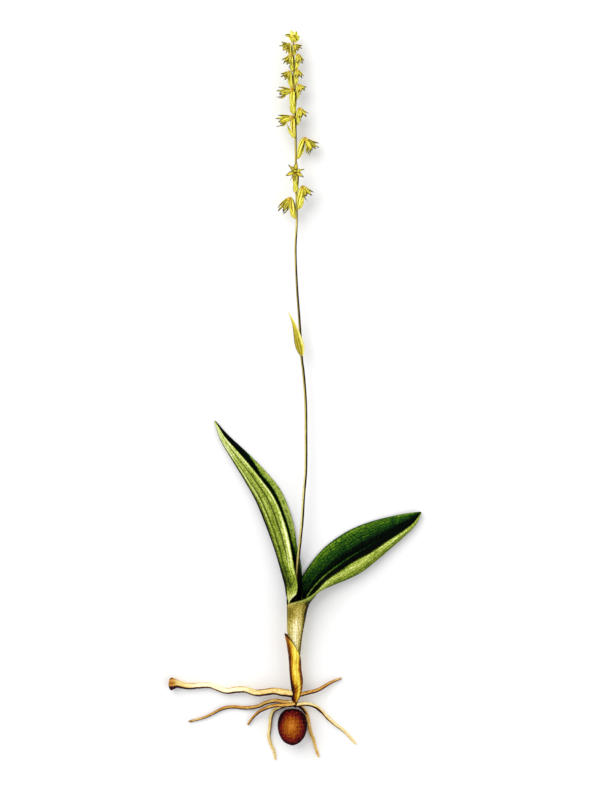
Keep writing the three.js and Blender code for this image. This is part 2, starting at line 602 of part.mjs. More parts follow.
addPiece("tuber", tuber(), 0x5a2413, 0.45);
addPiece("stolon", stolon(crownRoom), 0xd8c79a);
ROOTS.forEach((shape, i) => addPiece(`root_${i + 1}`, root(shape, crownRoom), 0xd9b98c));
addPiece("stem", stem(), 0x8a8420, 0.5);
addPiece("basal_sheath", basalSheath(), 0xb8892a);
addPiece("leaf_right", leaf(LEAF_RIGHT), 0x2f5a24, 0.5);
addPiece("leaf_left", leaf(LEAF_LEFT), 0x55702e, 0.5);
addPiece("stem_bract", stemBract(), 0xa9a935);
BLOOMS.forEach((shape, i) => addPiece(`bloom_${String(i + 1).padStart(2, "0")}`, bloom(shape), 0xd6c833));
addPiece("bud_cluster", budCluster(), 0xc4bb2e);

export default plant;
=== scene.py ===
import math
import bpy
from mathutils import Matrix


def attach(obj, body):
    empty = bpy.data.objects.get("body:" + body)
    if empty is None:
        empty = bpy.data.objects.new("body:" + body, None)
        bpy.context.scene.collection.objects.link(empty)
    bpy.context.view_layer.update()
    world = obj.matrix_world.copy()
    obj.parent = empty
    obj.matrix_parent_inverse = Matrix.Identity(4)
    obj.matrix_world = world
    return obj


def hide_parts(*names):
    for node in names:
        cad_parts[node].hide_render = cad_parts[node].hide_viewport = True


bl_info = {
    "name": "Musk orchid",
    "version": (1, 0, 0),
    "blender": (4, 5, 0),
    "location": "View3D > Sidebar > Orchid",
    "description": "Dresses a lifted musk orchid plant with its tuber, roots, leaves and flower spike",
    "category": "Object",
}

import bpy
import numpy as np
from mathutils import Vector, noise

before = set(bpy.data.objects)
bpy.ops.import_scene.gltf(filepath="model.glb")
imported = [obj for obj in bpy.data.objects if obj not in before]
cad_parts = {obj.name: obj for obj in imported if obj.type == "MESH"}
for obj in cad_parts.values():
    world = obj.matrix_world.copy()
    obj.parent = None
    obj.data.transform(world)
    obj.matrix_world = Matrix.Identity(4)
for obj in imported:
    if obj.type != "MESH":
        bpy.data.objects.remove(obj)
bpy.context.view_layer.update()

# Lengths below are in millimetres, as in the solids. Meshes, settings and the stage are in metres.
MM = 0.001
X, Y, Z = np.eye(3)
SHARP_ANGLE = 50
# The side, down and to the right, that tube skins are painted in shade on.
SHADED_SIDE = 0.4, -0.9, 0


# Curves and shares

def smooth(x, low, high):
    share = np.clip((np.asarray(x, float) - low) / (high - low), 0, 1)
    return share * share * (3 - 2 * share)


def mix(a, b, share):
    return a + (b - a) * share


def bump(x, middle, width):
    return np.exp(-(((np.asarray(x, float) - middle) / width) ** 2))


def spread(values, t):
    """The value at share t of a list that is spread evenly from 0 to 1."""
    return np.interp(t, np.linspace(0, 1, len(values)), values)


def trail(*numbers):
    """Numbers three by three, as places."""
    return np.reshape(numbers, (-1, 3)).astype(float)


def unit(v):
    return v / np.maximum(np.linalg.norm(v, axis=-1, keepdims=True), 1e-12)


def turned(side, up, angle):
    return np.multiply.outer(np.cos(angle), side) + np.multiply.outer(np.sin(angle), up)


class Line:
    """A smooth curve through points, spaced as the solids space theirs."""

    def __init__(self, points):
        self.points = np.array(points, float)
        first, last = 2 * self.points[0] - self.points[1], 2 * self.points[-1] - self.points[-2]
        padded = np.vstack([first, self.points, last])
        gaps = np.linalg.norm(np.diff(padded, axis=0), axis=1) ** 0.5
        self.parts = []
        for i in range(len(self.points) - 1):
            x0, x1, x2, x3 = padded[i:i + 4]
            g0, g1, g2 = gaps[i:i + 3]
            way1 = ((x1 - x0) / g0 - (x2 - x0) / (g0 + g1) + (x2 - x1) / g1) * g1
            way2 = ((x2 - x1) / g1 - (x3 - x1) / (g1 + g2) + (x3 - x2) / g2) * g1
            self.parts.append((x1, way1, -3 * x1 + 3 * x2 - 2 * way1 - way2, 2 * x1 - 2 * x2 + way1 + way2))
        self.parts = np.array(self.parts)

    def at(self, t):
        place = np.clip(t, 0, 1) * len(self.parts)
        part = np.minimum(np.asarray(place).astype(int), len(self.parts) - 1)
        w = np.asarray(place - part)[..., None]
        a, b, c, d = (self.parts[part, k] for k in range(4))
        return a + w * (b + w * (c + w * d))

    def heading(self, t):
        return unit(self.at(np.clip(t + 1e-4, 0, 1)) - self.at(np.clip(t - 1e-4, 0, 1)))

    def length(self):
        way = self.at(np.linspace(0, 1, 400))
        return np.linalg.norm(np.diff(way, axis=0), axis=1).sum()


class Arc:
    """A quadratic curve between two ends, drawn towards a middle point."""

    def __init__(self, start, middle, end):
        self.ends = np.array([start, middle, end], float)

    def at(self, t):
        w = np.asarray(t, float)[..., None]
        a, b, c = self.ends
        return (1 - w) ** 2 * a + 2 * w * (1 - w) * b + w * w * c

    def heading(self, t):
        w = np.asarray(t, float)[..., None]
        a, b, c = self.ends
        return unit((1 - w) * (b - a) + w * (c - b))


# Meshes

def pick(*pieces):
    """Selects these pieces alone and makes the first of them the active one."""
    bpy.ops.object.select_all(action="DESELECT")
    for piece in pieces:
        piece.select_set(True)
    bpy.context.view_layer.objects.active = pieces[0] if pieces else None


def new_grid(name, along, across):
    """A flat grid of faces, ready to be shaped. Returns it and each point's share along and across."""
    pick()
    bpy.ops.mesh.primitive_grid_add(x_subdivisions=along, y_subdivisions=across, size=1, calc_uvs=True)
    piece = bpy.context.active_object
    piece.name = piece.data.name = name
    flat = places(piece)
    return piece, flat[:, 0] + 0.5, flat[:, 1] + 0.5


def new_ball(name, segments, rings):
    """A ball of radius 1. Returns it and its points, turned so that its poles look along the plant."""
    pick()
    bpy.ops.mesh.primitive_uv_sphere_add(segments=segments, ring_count=rings, radius=1)
    piece = bpy.context.active_object
    piece.name = piece.data.name = name
    ball = places(piece)
    return piece, np.stack([ball[:, 0], ball[:, 2], -ball[:, 1]], axis=1)


def places(piece):
    flat = np.empty(len(piece.data.vertices) * 3)
    piece.data.vertices.foreach_get("co", flat)
    return flat.reshape(-1, 3)


def put_places(piece, points):
    piece.data.vertices.foreach_set("co", np.ascontiguousarray(points, float).ravel())
    piece.data.update()


def mark(piece, **marks):
    """Keeps a number of each name for each point, which the materials read by that name."""
    for name, values in marks.items():
        attribute = piece.data.attributes.new(name, "FLOAT", "POINT")
        numbers = np.broadcast_to(values, len(piece.data.vertices)).astype(np.float32)
        attribute.data.foreach_set("value", numbers)


def in_edit_mode(piece, *steps):
    pick(piece)
    bpy.ops.object.mode_set(mode="EDIT")
    bpy.ops.mesh.select_all(action="SELECT")
    for step in steps:
        step()
    bpy.ops.object.mode_set(mode="OBJECT")


def close_seams(piece):
    in_edit_mode(
        piece,
        lambda: bpy.ops.mesh.remove_doubles(threshold=1e-6),
        lambda: bpy.ops.mesh.normals_make_consistent(inside=False))


def modify(piece, kind, **settings):
    bpy.context.view_layer.objects.active = piece
    modifier = piece.modifiers.new(kind.title(), kind)
    for key, value in settings.items():
        setattr(modifier, key, value)
    bpy.ops.object.modifier_apply(modifier=modifier.name)


def give_thickness(piece, thickness, weights=None, **settings):
    """Gives a sheet two skins. weights are each point's share of the thickness."""
    if weights is not None:
        group = piece.vertex_groups.new(name="thickness")
        steps = np.round(np.clip(weights, 0, 1) * 50) / 50
        for step in np.unique(steps):
            group.add(np.flatnonzero(steps == step).tolist(), float(step), "REPLACE")
        settings.update(vertex_group="thickness", thickness_vertex_group=0)
    modify(piece, "SOLIDIFY", thickness=thickness * MM, offset=0, use_even_offset=False, **settings)


def joined(name, parts):
    pick(*parts)
    bpy.ops.object.join()
    piece = bpy.context.active_object
    piece.name = piece.data.name = name
    return piece


def finish_piece(piece, node):
    close_seams(piece)
    pick(piece)
    bpy.ops.object.shade_smooth_by_angle(angle=math.radians(SHARP_ANGLE))
    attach(piece, "root")
    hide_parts(node)


def make_tube(name, line, radius_at, around, steps, toward=SHADED_SIDE, ends=(True, True)):
    """A round tube along a line. radius_at takes the share along and the angle. Returns the tube, its shares
    and shade, which says from -1 to 1 how far each point looks toward one side, the side its skin is painted
    in shade on."""
    piece, t, v = new_grid(name, steps, around)
    t = 0.5 - 0.5 * np.cos(np.pi * t) if all(ends) else t
    angle = v * 2 * np.pi
    heading = line.heading(t)
    side = unit(np.cross(np.where(np.abs(heading[:, 2:]) > 0.8, X, Z), heading))
    up = np.cross(side, heading)
    radius = radius_at(t, angle)
    for closed, gap in zip(ends, (t * line.length(), (1 - t) * line.length())):
        if closed:
            share = np.clip(gap / np.maximum(radius, 1e-6), 0, 1)
            radius = radius * np.sqrt(np.maximum(1 - (1 - share) ** 2, 0))
    outward = side * np.cos(angle)[:, None] + up * np.sin(angle)[:, None]
    put_places(piece, (line.at(t) + outward * radius[:, None]) * MM)
    return piece, t, angle, outward @ unit(np.array(toward))


def weave(points, size, seed, turns=2.0, octaves=2):
    """Smooth unevenness from -1 to 1 at each point, with features of about the given size in millimetres."""
    offset = Vector((seed * 7.3, seed * 3.1, seed * 5.7))
    return np.array([noise.fractal(Vector(p) / size + offset, 1.0, turns, octaves) for p in points])


# Colours and materials

def ink(color):
    """A colour that a material mixes, from its usual six-digit code. A ready colour stays as it is."""
    if not isinstance(color, str):
        return color
    parts = [int(color[i:i + 2], 16) / 255 for i in (0, 2, 4)]
    return tuple(c / 12.92 if c <= 0.04045 else ((c + 0.055) / 1.055) ** 2.4 for c in parts) + (1,)


def shades(*steps):
    """The stops of a run of colours, from a place, its colour, the next place and so on."""
    return [(place, ink(color)) for place, color in zip(steps[::2], steps[1::2])]


def add_node(tree, kind, inputs=None, **settings):
    node = tree.nodes.new(kind)
    for key, value in settings.items():
        setattr(node, key, value)
    for key, value in (inputs or {}).items():
        if isinstance(value, bpy.types.NodeSocket):
            tree.links.new(value, node.inputs[key])
        else:
            node.inputs[key].default_value = value
    return node


def reckon(tree, operation, *values):
    node = add_node(tree, "ShaderNodeMath", dict(enumerate(values)), operation=operation)
    return node.outputs[0]


def blend_colors(tree, share, a, b, way="MIX"):
    node = add_node(tree, "ShaderNodeMix", {0: share, 6: a, 7: b}, data_type="RGBA", blend_type=way)
    return node.outputs[2]


def ramp(tree, share, stops):
    node = add_node(tree, "ShaderNodeValToRGB", {0: share})
    elements = node.color_ramp.elements
    for i, (place, color) in enumerate(stops):
        element = elements[i] if i < 2 else elements.new(place)
        element.position = place
        element.color = color
    return node.outputs[0]


def attribute(tree, name):
    node = add_node(tree, "ShaderNodeAttribute", attribute_name=name, attribute_type="GEOMETRY")
    return node.outputs["Fac"]


def object_places(tree):
    return add_node(tree, "ShaderNodeTexCoord").outputs["Object"]


def own_map(tree):
    return add_node(tree, "ShaderNodeUVMap", uv_map="UVMap").outputs[0]


def new_group(name, inputs, outputs):
    group = bpy.data.node_groups.new(name, "ShaderNodeTree")
    for socket, kind, value in inputs:
        made = group.interface.new_socket(socket, in_out="INPUT", socket_type=kind)
        if value is not None:
            made.default_value = value
    for socket, kind in outputs:
        group.interface.new_socket(socket, in_out="OUTPUT", socket_type=kind)
    entry = group.nodes.new("NodeGroupInput").outputs
    leave = group.nodes.new("NodeGroupOutput").inputs
    return group, entry, leave


def use_group(tree, name, maker, inputs):
    if name not in bpy.data.node_groups:
        maker(name)
    return add_node(tree, "ShaderNodeGroup", inputs, node_tree=bpy.data.node_groups[name]).outputs


def speckle(tree, place, scale, detail, roughness):
    """Uneven light and dark from 0 to 1."""
    inputs = {"Vector": place, "Scale": scale, "Detail": detail, "Roughness": roughness}
    return add_node(tree, "ShaderNodeTexNoise", inputs).outputs["Fac"]


def sharpen(tree, value, low, high):
    inputs = {"Value": value, "From Min": low, "From Max": high}
    return add_node(tree, "ShaderNodeMapRange", inputs).outputs[0]


def make_stipple_group(name):
    """Fine points and soft clouds of light and dark, as living skin has."""
    group, entry, leave = new_group(
        name,
        [("Place", "NodeSocketVector", None), ("Point Size", "NodeSocketFloat", 0.25),
         ("Cloud Size", "NodeSocketFloat", 2.0)],
        [("Points", "NodeSocketFloat"), ("Clouds", "NodeSocketFloat"), ("Height", "NodeSocketFloat")])
    points = speckle(group, entry["Place"], reckon(group, "DIVIDE", 1000.0, entry["Point Size"]), 2.0, 0.6)
    clouds = speckle(group, entry["Place"], reckon(group, "DIVIDE", 1000.0, entry["Cloud Size"]), 3.0, 0.55)
    group.links.new(sharpen(group, points, 0.35, 0.65), leave["Points"])
    group.links.new(clouds, leave["Clouds"])
    group.links.new(reckon(group, "ADD", points, clouds), leave["Height"])


def make_fiber_group(name):
    """Long fine fibres that run the length of a piece, from its own map."""
    group, entry, leave = new_group(
        name,
        [("Map", "NodeSocketVector", None), ("Count", "NodeSocketFloat", 40.0),
         ("Breaks", "NodeSocketFloat", 3.0)],
        [("Lines", "NodeSocketFloat"), ("Height", "NodeSocketFloat")])
    scale = add_node(group, "ShaderNodeCombineXYZ", {"X": entry["Breaks"], "Y": entry["Count"], "Z": 1.0})
    stretched = add_node(
        group, "ShaderNodeVectorMath", {0: entry["Map"], 1: scale.outputs[0]}, operation="MULTIPLY")
    streaks = speckle(group, stretched.outputs[0], 1.0, 2.5, 0.6)
    group.links.new(sharpen(group, streaks, 0.36, 0.64), leave["Lines"])
    group.links.new(streaks, leave["Height"])


def plant_skin(name, stops, tint="tint", warm=None, dark=None, point_size=0.25, points=0.12, cloud_size=2.0,
               clouds=0.2, fiber_count=40.0, fiber_breaks=3.0, fibers=0.1, roughness=0.6, relief=0.05,
               shine=0.1, translucent=0.0):
    """A skin, made once, whose colour runs through stops by each point's tint, broken up by points, clouds
    and fibres. warm holds the stops that the warm mark brings in, and dark is the colour of the groove mark,
    which paints shade into grooves, hollows and seams and also draws dark lines and marks."""
    if name in bpy.data.materials:
        return bpy.data.materials[name]
    material = bpy.data.materials.new(name)
    material.use_nodes = True
    tree = material.node_tree
    shader = tree.nodes["Principled BSDF"]
    stipple = use_group(tree, "stipple", make_stipple_group,
                        {"Place": object_places(tree), "Point Size": point_size, "Cloud Size": cloud_size})
    fiber = use_group(tree, "fibers", make_fiber_group,
                      {"Map": own_map(tree), "Count": fiber_count, "Breaks": fiber_breaks})
    share = attribute(tree, tint)
    effects = (stipple["Points"], points), (stipple["Clouds"], clouds), (fiber["Lines"], fibers)
    for value, strength in effects:
        share = reckon(tree, "MULTIPLY_ADD", reckon(tree, "SUBTRACT", value, 0.5), strength, share)
    color = ramp(tree, share, stops)
    if warm:
        color = blend_colors(tree, attribute(tree, "warm"), color, ramp(tree, share, warm))
    if dark:
        color = blend_colors(tree, attribute(tree, "groove"), color, dark)
    tree.links.new(color, shader.inputs["Base Color"])
    rough = reckon(tree, "MULTIPLY_ADD", stipple["Clouds"], 0.3, roughness - 0.15)
    tree.links.new(rough, shader.inputs["Roughness"])
    height = reckon(tree, "ADD", stipple["Height"], fiber["Height"])
    bumps = add_node(tree, "ShaderNodeBump", {"Strength": 0.6, "Distance": relief * MM, "Height": height})
    tree.links.new(bumps.outputs[0], shader.inputs["Normal"])
    shader.inputs["Specular IOR Level"].default_value = shine
    if translucent:
        shader.inputs["Subsurface Weight"].default_value = translucent
        shader.inputs["Subsurface Radius"].default_value = (0.6, 0.5, 0.15)
        shader.inputs["Subsurface Scale"].default_value = 0.0006
    return material


def dress(piece, *materials):
    piece.data.materials.clear()
    for material in materials:
        piece.data.materials.append(material)


# Tuber: its middle, how far its skin stays inside the solid, and where the painted highlight at the heart of
# its skin lies from its middle. Below SPOT_START its under side flattens into a small spot.

TUBER_MIDDLE = np.array([0.1, -0.2, 4.2])
TUBER_FIT = 0.985
TUBER_LIT_HEART = np.array([-0.5, 0.95])
SPOT_START = 0.35
SPOT_DEPTH = 0.34
SPOT_HEIGHT = 0.012

# Stolon and roots

STOLON_LINE = trail(
    1.1, 9.3, 4.5,  -0.3, 9.7, 4.5,  -2.7, 10, 4.4,  -5.4, 10.4, 4,  -8, 10, 3.5,  -10.7, 9.7, 3,
    -14.1, 10.6, 2.4,  -16.8, 10.5, 1.9,  -19.8, 10.1, 1.6,  -22.5, 11, 1.35,  -24.6, 11.7, 1.25,
    -27.6, 11.7, 1.2,  -31.5, 11.5, 1.25,  -34.5, 12.2, 1.6,  -36, 12.35, 1.9,  -37.2, 12.4, 1.95,
)
STOLON_RADII = [1.0, 1.1, 1.15, 1.05, 1.05, 1.0, 0.9, 0.95, 0.85, 0.85, 0.8, 0.85, 0.95, 1.15, 1.85, 1.75]
STOLON_RINGS = [0.16, 0.31, 0.45, 0.6, 0.74]

# Each root's radius, how brown it is, and its way from the crown to its tip.
ROOTS = [
    (0.72, 0.28, trail(
        1.4, 9, 4.5,  2.6, 9.4, 4.3,  4.6, 9.8, 3.6,  7.8, 10.5, 2.2,  11.7, 12.6, 1.2,  15, 13.9, 0.6,
    )),
    (0.62, 0.25, trail(
        0.9, 6.9, 4.4,  -0.1, 7, 4.3,  -2.4, 7.1, 3.6,  -4.8, 7.3, 2.5,  -7.5, 6.7, 1.7,  -10.7, 5.3, 1,
        -14.1, 4.9, 0.7,  -17.7, 5.2, 0.7,  -20.9, 4.7, 0.7,  -23.5, 3.4, 0.7,  -26.7, 1.9, 0.6,
        -31.3, 0.7, 0.45,
    )),
    (0.64, 0.3, trail(
        0.9, 6.6, 5.2,  -0.1, 6.5, 5.6,  -2.4, 6.3, 5.4,  -4.8, 6.2, 4.6,  -7.5, 5.3, 3.4,  -10.2, 3.7, 2,
        -12, 1.8, 1,  -13.4, -0.3, 0.5,
    )),
    (0.6, 0.1, trail(
        0.9, 6.6, 3.6,  0.3, 6.3, 3.1,  -1.8, 5.9, 2.4,  -3.7, 5.1, 1.4,  -5.6, 3.9, 0.8,  -6.4, 1.8, 0.62,
        -6.7, -0.9, 0.62,  -7, -3.6, 0.6,  -6.4, -6, 0.6,  -5.5, -8.1, 0.55,  -5, -10.8, 0.45,
    )),
    (0.62, 0.2, trail(
        1.1, 6.8, 4,  1.6, 6.2, 3.4,  2.9, 5.2, 2.1,  4.3, 3.2, 1,  4.95, 0.6, 0.65,  5.5, -2.2, 0.65,
        6.5, -4.8, 0.65,  7.2, -7.5, 0.6,  8.1, -10, 0.55,
    )),
    (0.62, 0.05, trail(
        1.1, 6.4, 4.8,  1.7, 6.4, 4.9,  3.4, 6.6, 4.6,  5.2, 6.4, 4,  6.9, 5.7, 3.2,  8.9, 4, 2,
        11, 1.7, 1.1,  13.1, -0.1, 0.7,  15.8, -2.2, 0.5,  18.4, -5, 0.4,  19.3, -6.1, 0.35,
    )),
]

# Stem and its bract. The stem's foot and tip reach past its line.

STEM_LINE = Line(trail(
    0.96, 6.4, 4.55,  1, 7.8, 4.6,  1.2, 9.3, 4.6,  1.38, 11.5, 4.6,  1.2, 14.4, 4.6,  0.88, 17.5, 4.6,
    0.95, 21.5, 4.6,  0.95, 28, 4.6,  1.1, 36, 4.7,  1.5, 45, 4.9,  1.85, 50, 4.9,  2.4, 55, 4.9,
    3.1, 62, 4.8,  3.5, 69, 4.7,  4.1, 76, 4.6,  4.2, 88, 4.5,  4.1, 97, 4.4,  3.45, 106, 4.4,
    2.95, 110, 4.4,  2.7, 114.5, 4.4,  2.15, 122.7, 4.4,  1.5, 131.5, 4.4,  1.05, 142.8, 4.4,  1.4, 152, 4.4,
    1.15, 166, 4.4,  1.05, 179, 4.4,  0.6, 193, 4.2,  0.3, 203, 4,
))
STEM_FOOT = [0.96, 5.55, 4.5]
STEM_TIP = [0.22, 206, 4]
STEM_BRACT_LINE = trail(
    2.9, 110.9, 5.3,  2.8, 111.7, 5.65,  2.5, 113.3, 5.85,  1.9, 115.6, 5.95,  1.25, 118.3, 5.85,
    0.3, 121.2, 5.45,  -1.05, 124.1, 4.9,
)
STEM_BRACT_WIDTHS = [0.6, 1.4, 2.1, 2.7, 2.5, 2, 1.3, 0.7, 0.12]
STEM_BRACT_THICKNESS = 0.3
STEM_PLACES = STEM_LINE.at(np.linspace(0, 1, 2000))


def stem_at(y):
    return np.array([np.interp(y, STEM_PLACES[:, 1], STEM_PLACES[:, k]) for k in range(3)])


# Basal sheath: a place up the stem, the middle of the tube there and its outer radius. Its seam winds up its
# front at SEAM_ANGLES, and its top rises by SHEATH_RISE toward the left.

BASAL_SHEATH = np.reshape([
    7.9, 0.98, 1.2,  9.2, 1.2, 1.4,  11, 1.4, 1.65,  12.7, 1.35, 1.85,  14.4, 1.2, 1.9,  16.8, 0.9, 1.8,
    18.9, 0.85, 1.8,  21.3, 1, 2.1,  24.7, 0.9, 2.5,  27.9, 0.9, 3.25,
], (-1, 3))
AXIS_HEIGHT = 4.6
SHEATH_FOOT = 7.0
SHEATH_LOW_TOP = 18.2
SHEATH_RISE = 9.6
SHEATH_OVERLAP = 70
SHEATH_INSET = 0.2
SEAM_PLACES = [7, 9, 10.9, 12.4, 13.7, 18.2]
SEAM_ANGLES = [150, 142, 119, 60, 0, -10]

# Leaves, as the solids have them. Angles are in degrees, and closed is the share of the leaf that is a
# sheath. Each groove has its share across, width and strength, and the shares along where it starts and ends.

OPENING = 0.1
FAR_ARCH = 0.05
FLATTENING = 0.22
GROOVE_DEPTH = 0.16
GROOVE_FADE = 0.08
VEIN_HEIGHT = 0.018
WAVE_HEIGHT = 0.22
LEAF_RIGHT = {
    "turn": 1, "midrib_angle": -35, "near_closed": 208, "far_closed": 152, "hollow": 0.8, "closed": 0.35,
    "grooves": [
        (0.66, 0.02, 0.5, 0.5, 0.95), (0.8, 0.02, 0.35, 0.48, 0.95), (0, 0.035, 0.9, 0.42, 1),
        (-0.35, 0.03, 0.3, 0.5, 0.95), (-0.65, 0.03, 0.3, 0.5, 0.95),
    ],
    "sheath": np.reshape([
        1.25, 13.5, 4.6, 0.9,  0.88, 16.8, 4.6, 0.9,  0.88, 19, 4.6, 0.95,  1.02, 21.5, 4.6, 1.22,
        1, 24.7, 4.6, 1.58,  0.9, 28, 4.6, 2.15,  1.2, 31.6, 4.6, 2.55,  1.55, 35, 4.6, 2.9,
        1.9, 37.3, 4.5, 3.6,  2.6, 39.2, 4.3, 4.5,
    ], (-1, 4)),
    "near_margin": trail(
        1.6, 37.2, 8.3,  6.5, 40.2, 7.4,  10.1, 43.7, 6.7,  14.5, 46.7, 6,  18.3, 49.4, 5.4,
        23.5, 52.2, 4.7,  28.6, 55.4, 3.9,  33.1, 58.3, 3.1,  36.7, 61.1, 2.3,  38.9, 63.9, 1.7,
    ),
    "bulge": trail(
        5.6, 37.5, 5.8,  7.9, 40.3, 4.3,  12.2, 42.3, 3.6,  16.5, 44, 3.2,  20.8, 46.2, 2.9,
        25.5, 49.8, 2.6,  30.1, 53.7, 2.2,  34.1, 57.2, 1.9,  37.2, 60.4, 1.7,  38.95, 63.8, 1.5,
    ),
    "midrib": trail(
        4.9, 37.9, 1.7,  6.7, 40.9, 0.9,  9.9, 44.1, 0.5,  14, 47.2, 0.34,  18, 49.9, 0.34,  23, 52.8, 0.34,
        28.2, 56.1, 0.45,  32.5, 59, 0.8,  36.2, 61.4, 1.2,  38.85, 64, 1.4,
    ),
    "far_margin": trail(
        -1.4, 38.2, 2,  1.4, 42, 0.9,  5.7, 48.6, 0.5,  9.6, 53.1, 0.4,  13.4, 56.1, 0.4,  17.9, 58.8, 0.4,
        24.1, 61.2, 0.5,  29.5, 62.6, 0.8,  34.3, 63.6, 1.1,  38.7, 64.2, 1.4,
    ),
}
LEAF_LEFT = {
    "turn": -1, "midrib_angle": 190, "near_closed": 18, "far_closed": 180, "hollow": 0.95, "closed": 0.15,
    "grooves": [
        (0.56, 0.024, 0.95, 0.28, 0.99), (0.685, 0.028, 1, 0.34, 0.98), (0.86, 0.024, 1, 0.4, 0.96),
        (0.78, 0.012, 0.35, 0.4, 0.9), (0, 0.035, 0.6, 0.2, 1), (-0.4, 0.03, 0.4, 0.3, 0.95),
        (-0.7, 0.03, 0.3, 0.3, 0.95),
    ],
    "sheath": np.reshape([
        0.95, 25.5, 4.6, 0.92,  0.95, 28, 4.6, 1.2,  1.1, 31.6, 4.6, 1.55,  1.25, 35.5, 4.65, 1.85,
        0.95, 38.2, 4.95, 2,  0.5, 41.2, 5, 2.3,
    ], (-1, 4)),
    "near_margin": trail(
        1.3, 39.4, 6.6,  1.7, 42, 6.7,  0.8, 47, 6.7,  -0.3, 53.5, 6.4,  -2, 60.3, 6,  -5.5, 69, 5.5,
        -10.3, 75.5, 4.8,  -15.4, 81.3, 3.6,  -20.2, 86.8, 2.2,  -23.25, 91.5, 1.1,
    ),
    "bulge": trail(
        -1.3, 39.2, 4.9,  -1.6, 42, 4.9,  -3, 47, 4.3,  -4.8, 53, 3.6,  -7.3, 60, 3.1,  -10.6, 67.9, 2.8,
        -13.8, 73.5, 2.5,  -17.8, 79.9, 2,  -21.5, 86.1, 1.4,  -23.35, 91.4, 0.9,
    ),
    "midrib": trail(
        -1.1, 39, 3.7,  -1.5, 41.6, 3.4,  -2.5, 46.5, 2.5,  -4, 53, 1.6,  -6.4, 60, 0.9,  -9.5, 68.3, 0.45,
        -12.8, 74, 0.34,  -17.1, 80.4, 0.34,  -21.1, 86.4, 0.45,  -23.35, 91.45, 0.75,
    ),
    "far_margin": trail(
        3, 39.8, 3.5,  3.1, 42.9, 3.2,  2.8, 48, 2.8,  1.6, 53.5, 2,  0.4, 60.6, 1.2,  -3.2, 70.2, 0.6,
        -8.3, 76.7, 0.4,  -13.8, 82.2, 0.4,  -19.3, 87.3, 0.5,  -23.1, 91.55, 0.8,
    ),
}

# How light the right leaf is painted across its folded side, which faces the light, between dark lines at its
# edges, and across its far side, painted in shadow beside the midrib; and where on the far side of the left
# leaf the painted shadow under its near half gives way to a lit strip, by the share along.

FOLD_LIGHT_TINTS = (
    [0.45, 0.5, 0.56, 0.64, 0.72, 0.8, 0.88, 0.96, 1],
    [0.02, 0.1, 0.3, 0.36, 0.42, 0.54, 0.68, 0.74, 0.15],
)
FAR_SHADE_TINTS = (
    [0, 0.05, 0.15, 0.25, 0.4, 0.58, 0.8, 0.9, 0.965, 1],
    [0, 0.02, 0.02, 0.1, 0.42, 0.5, 0.64, 0.76, 0.66, 0.15],
)
LIT_STRIP_STARTS = [0, 0.14, 0.25, 0.36, 0.5, 0.66, 0.76, 1], [1, 0.9, 0.4, 0.16, 0.06, 0.02, 0.85, 1.1]


def sheath_point(leaf, t, s):
    share = np.minimum(1, t / (leaf["closed"] + OPENING))
    radius = spread(leaf["sheath"][:, 3], share) + 0.1 * np.abs(s) ** 3 * np.sign(s)
    half = np.where(s > 0, leaf["near_closed"], leaf["far_closed"])
    angle = np.radians(leaf["midrib_angle"] + leaf["turn"] * s * half)
    ring = np.stack([np.cos(angle), np.zeros_like(angle), np.sin(angle)], axis=-1)
    return Line(leaf["sheath"][:, :3]).at(share) + ring * radius[..., None]


def leaf_surface(leaf):
    def rail(name, s):
        mouth = sheath_point(leaf, np.array(leaf["closed"], float), np.array(s, float))
        return Line(np.vstack([mouth, leaf[name]]))

    far, midrib = rail("far_margin", -1), rail("midrib", 0)
    bulge, near = rail("bulge", 0.5), rail("near_margin", 1)

    def blade_point(u, s):
        rib = midrib.at(u)
        margin = np.where((s < 0)[:, None], far.at(u), near.at(u))
        middle = (rib + margin) / 2
        arch = mix(-leaf["hollow"], FAR_ARCH, smooth(u, 0, FLATTENING))
        lift = middle.copy()
        lift[:, 2] += arch * np.linalg.norm(rib - margin, axis=1)
        push = bulge.at(u)
        push[:, 2] = middle[:, 2]
        control = np.where((s < 0)[:, None], lift, middle + 2 * (push - middle))
        w = np.abs(s)[:, None]
        return (1 - w) ** 2 * rib + 2 * w * (1 - w) * control + w * w * margin

    def surface(t, s):
        openness = smooth(t, leaf["closed"], leaf["closed"] + OPENING)[:, None]
        u = np.maximum(0, (t - leaf["closed"]) / (1 - leaf["closed"]))
        return mix(sheath_point(leaf, t, s), blade_point(u, s), openness)

    return surface


# Blooms. Each has its place up the plant, its side, from 0 at the right by 90 at the front to 180 at the
# left, the side that its flower faces, its size, the bell of its flower, how far that nods, how far its neck
# leans out and how widely its tips open. Two also have a twist, and one of them the side of its bract.

BLOOMS = [
    (152.7, 146, 180, 1.08, 1.36, 55, 1, 0.08),
    (155.5, 40, 5, 1.2, 1, 58, 0.7, 0.3),
    (160.3, 96, 92, 1.2, 0.92, 2, 0.8, 1, -10),
    (170.7, -8, -8, 1.1, 1.5, 50, 1.3, 0.4),
    (176.9, 116, 182, 1.12, 1.38, 12, 0.6, 0.2, 0, 182),
    (180.6, 42, 2, 0.88, 0.9, 64, 0.3, 0.3),
    (183.9, 112, 180, 1.35, 1.32, 8, 0.1, 0.15),
    (188.2, 36, 0, 0.8, 0.68, 54, 0.2, 0.3),
    (191.8, 154, 165, 0.88, 0.8, 52, 0.1, 0.35),
    (192.6, 52, 8, 0.8, 0.74, 74, 0, 0.2),
    (196.6, 118, 172, 0.88, 0.92, 60, 0.1, 0.3),
    (197.1, 30, 12, 0.82, 0.76, 78, 0, 0.15),
    (201.1, 156, 140, 0.7, 0.8, 30, 0, 0.55),
    (201.4, 58, 20, 0.58, 0.62, 50, 0, 0.35),
    (180.6, 272, 272, 0.55, 0.6, 45, 0.5, 0.25),
    (190, 264, 264, 0.55, 0.6, 45, 0.5, 0.25),
]

# The parts of a bloom: their lengths, how far they bow outward, and their widths from foot to tip.

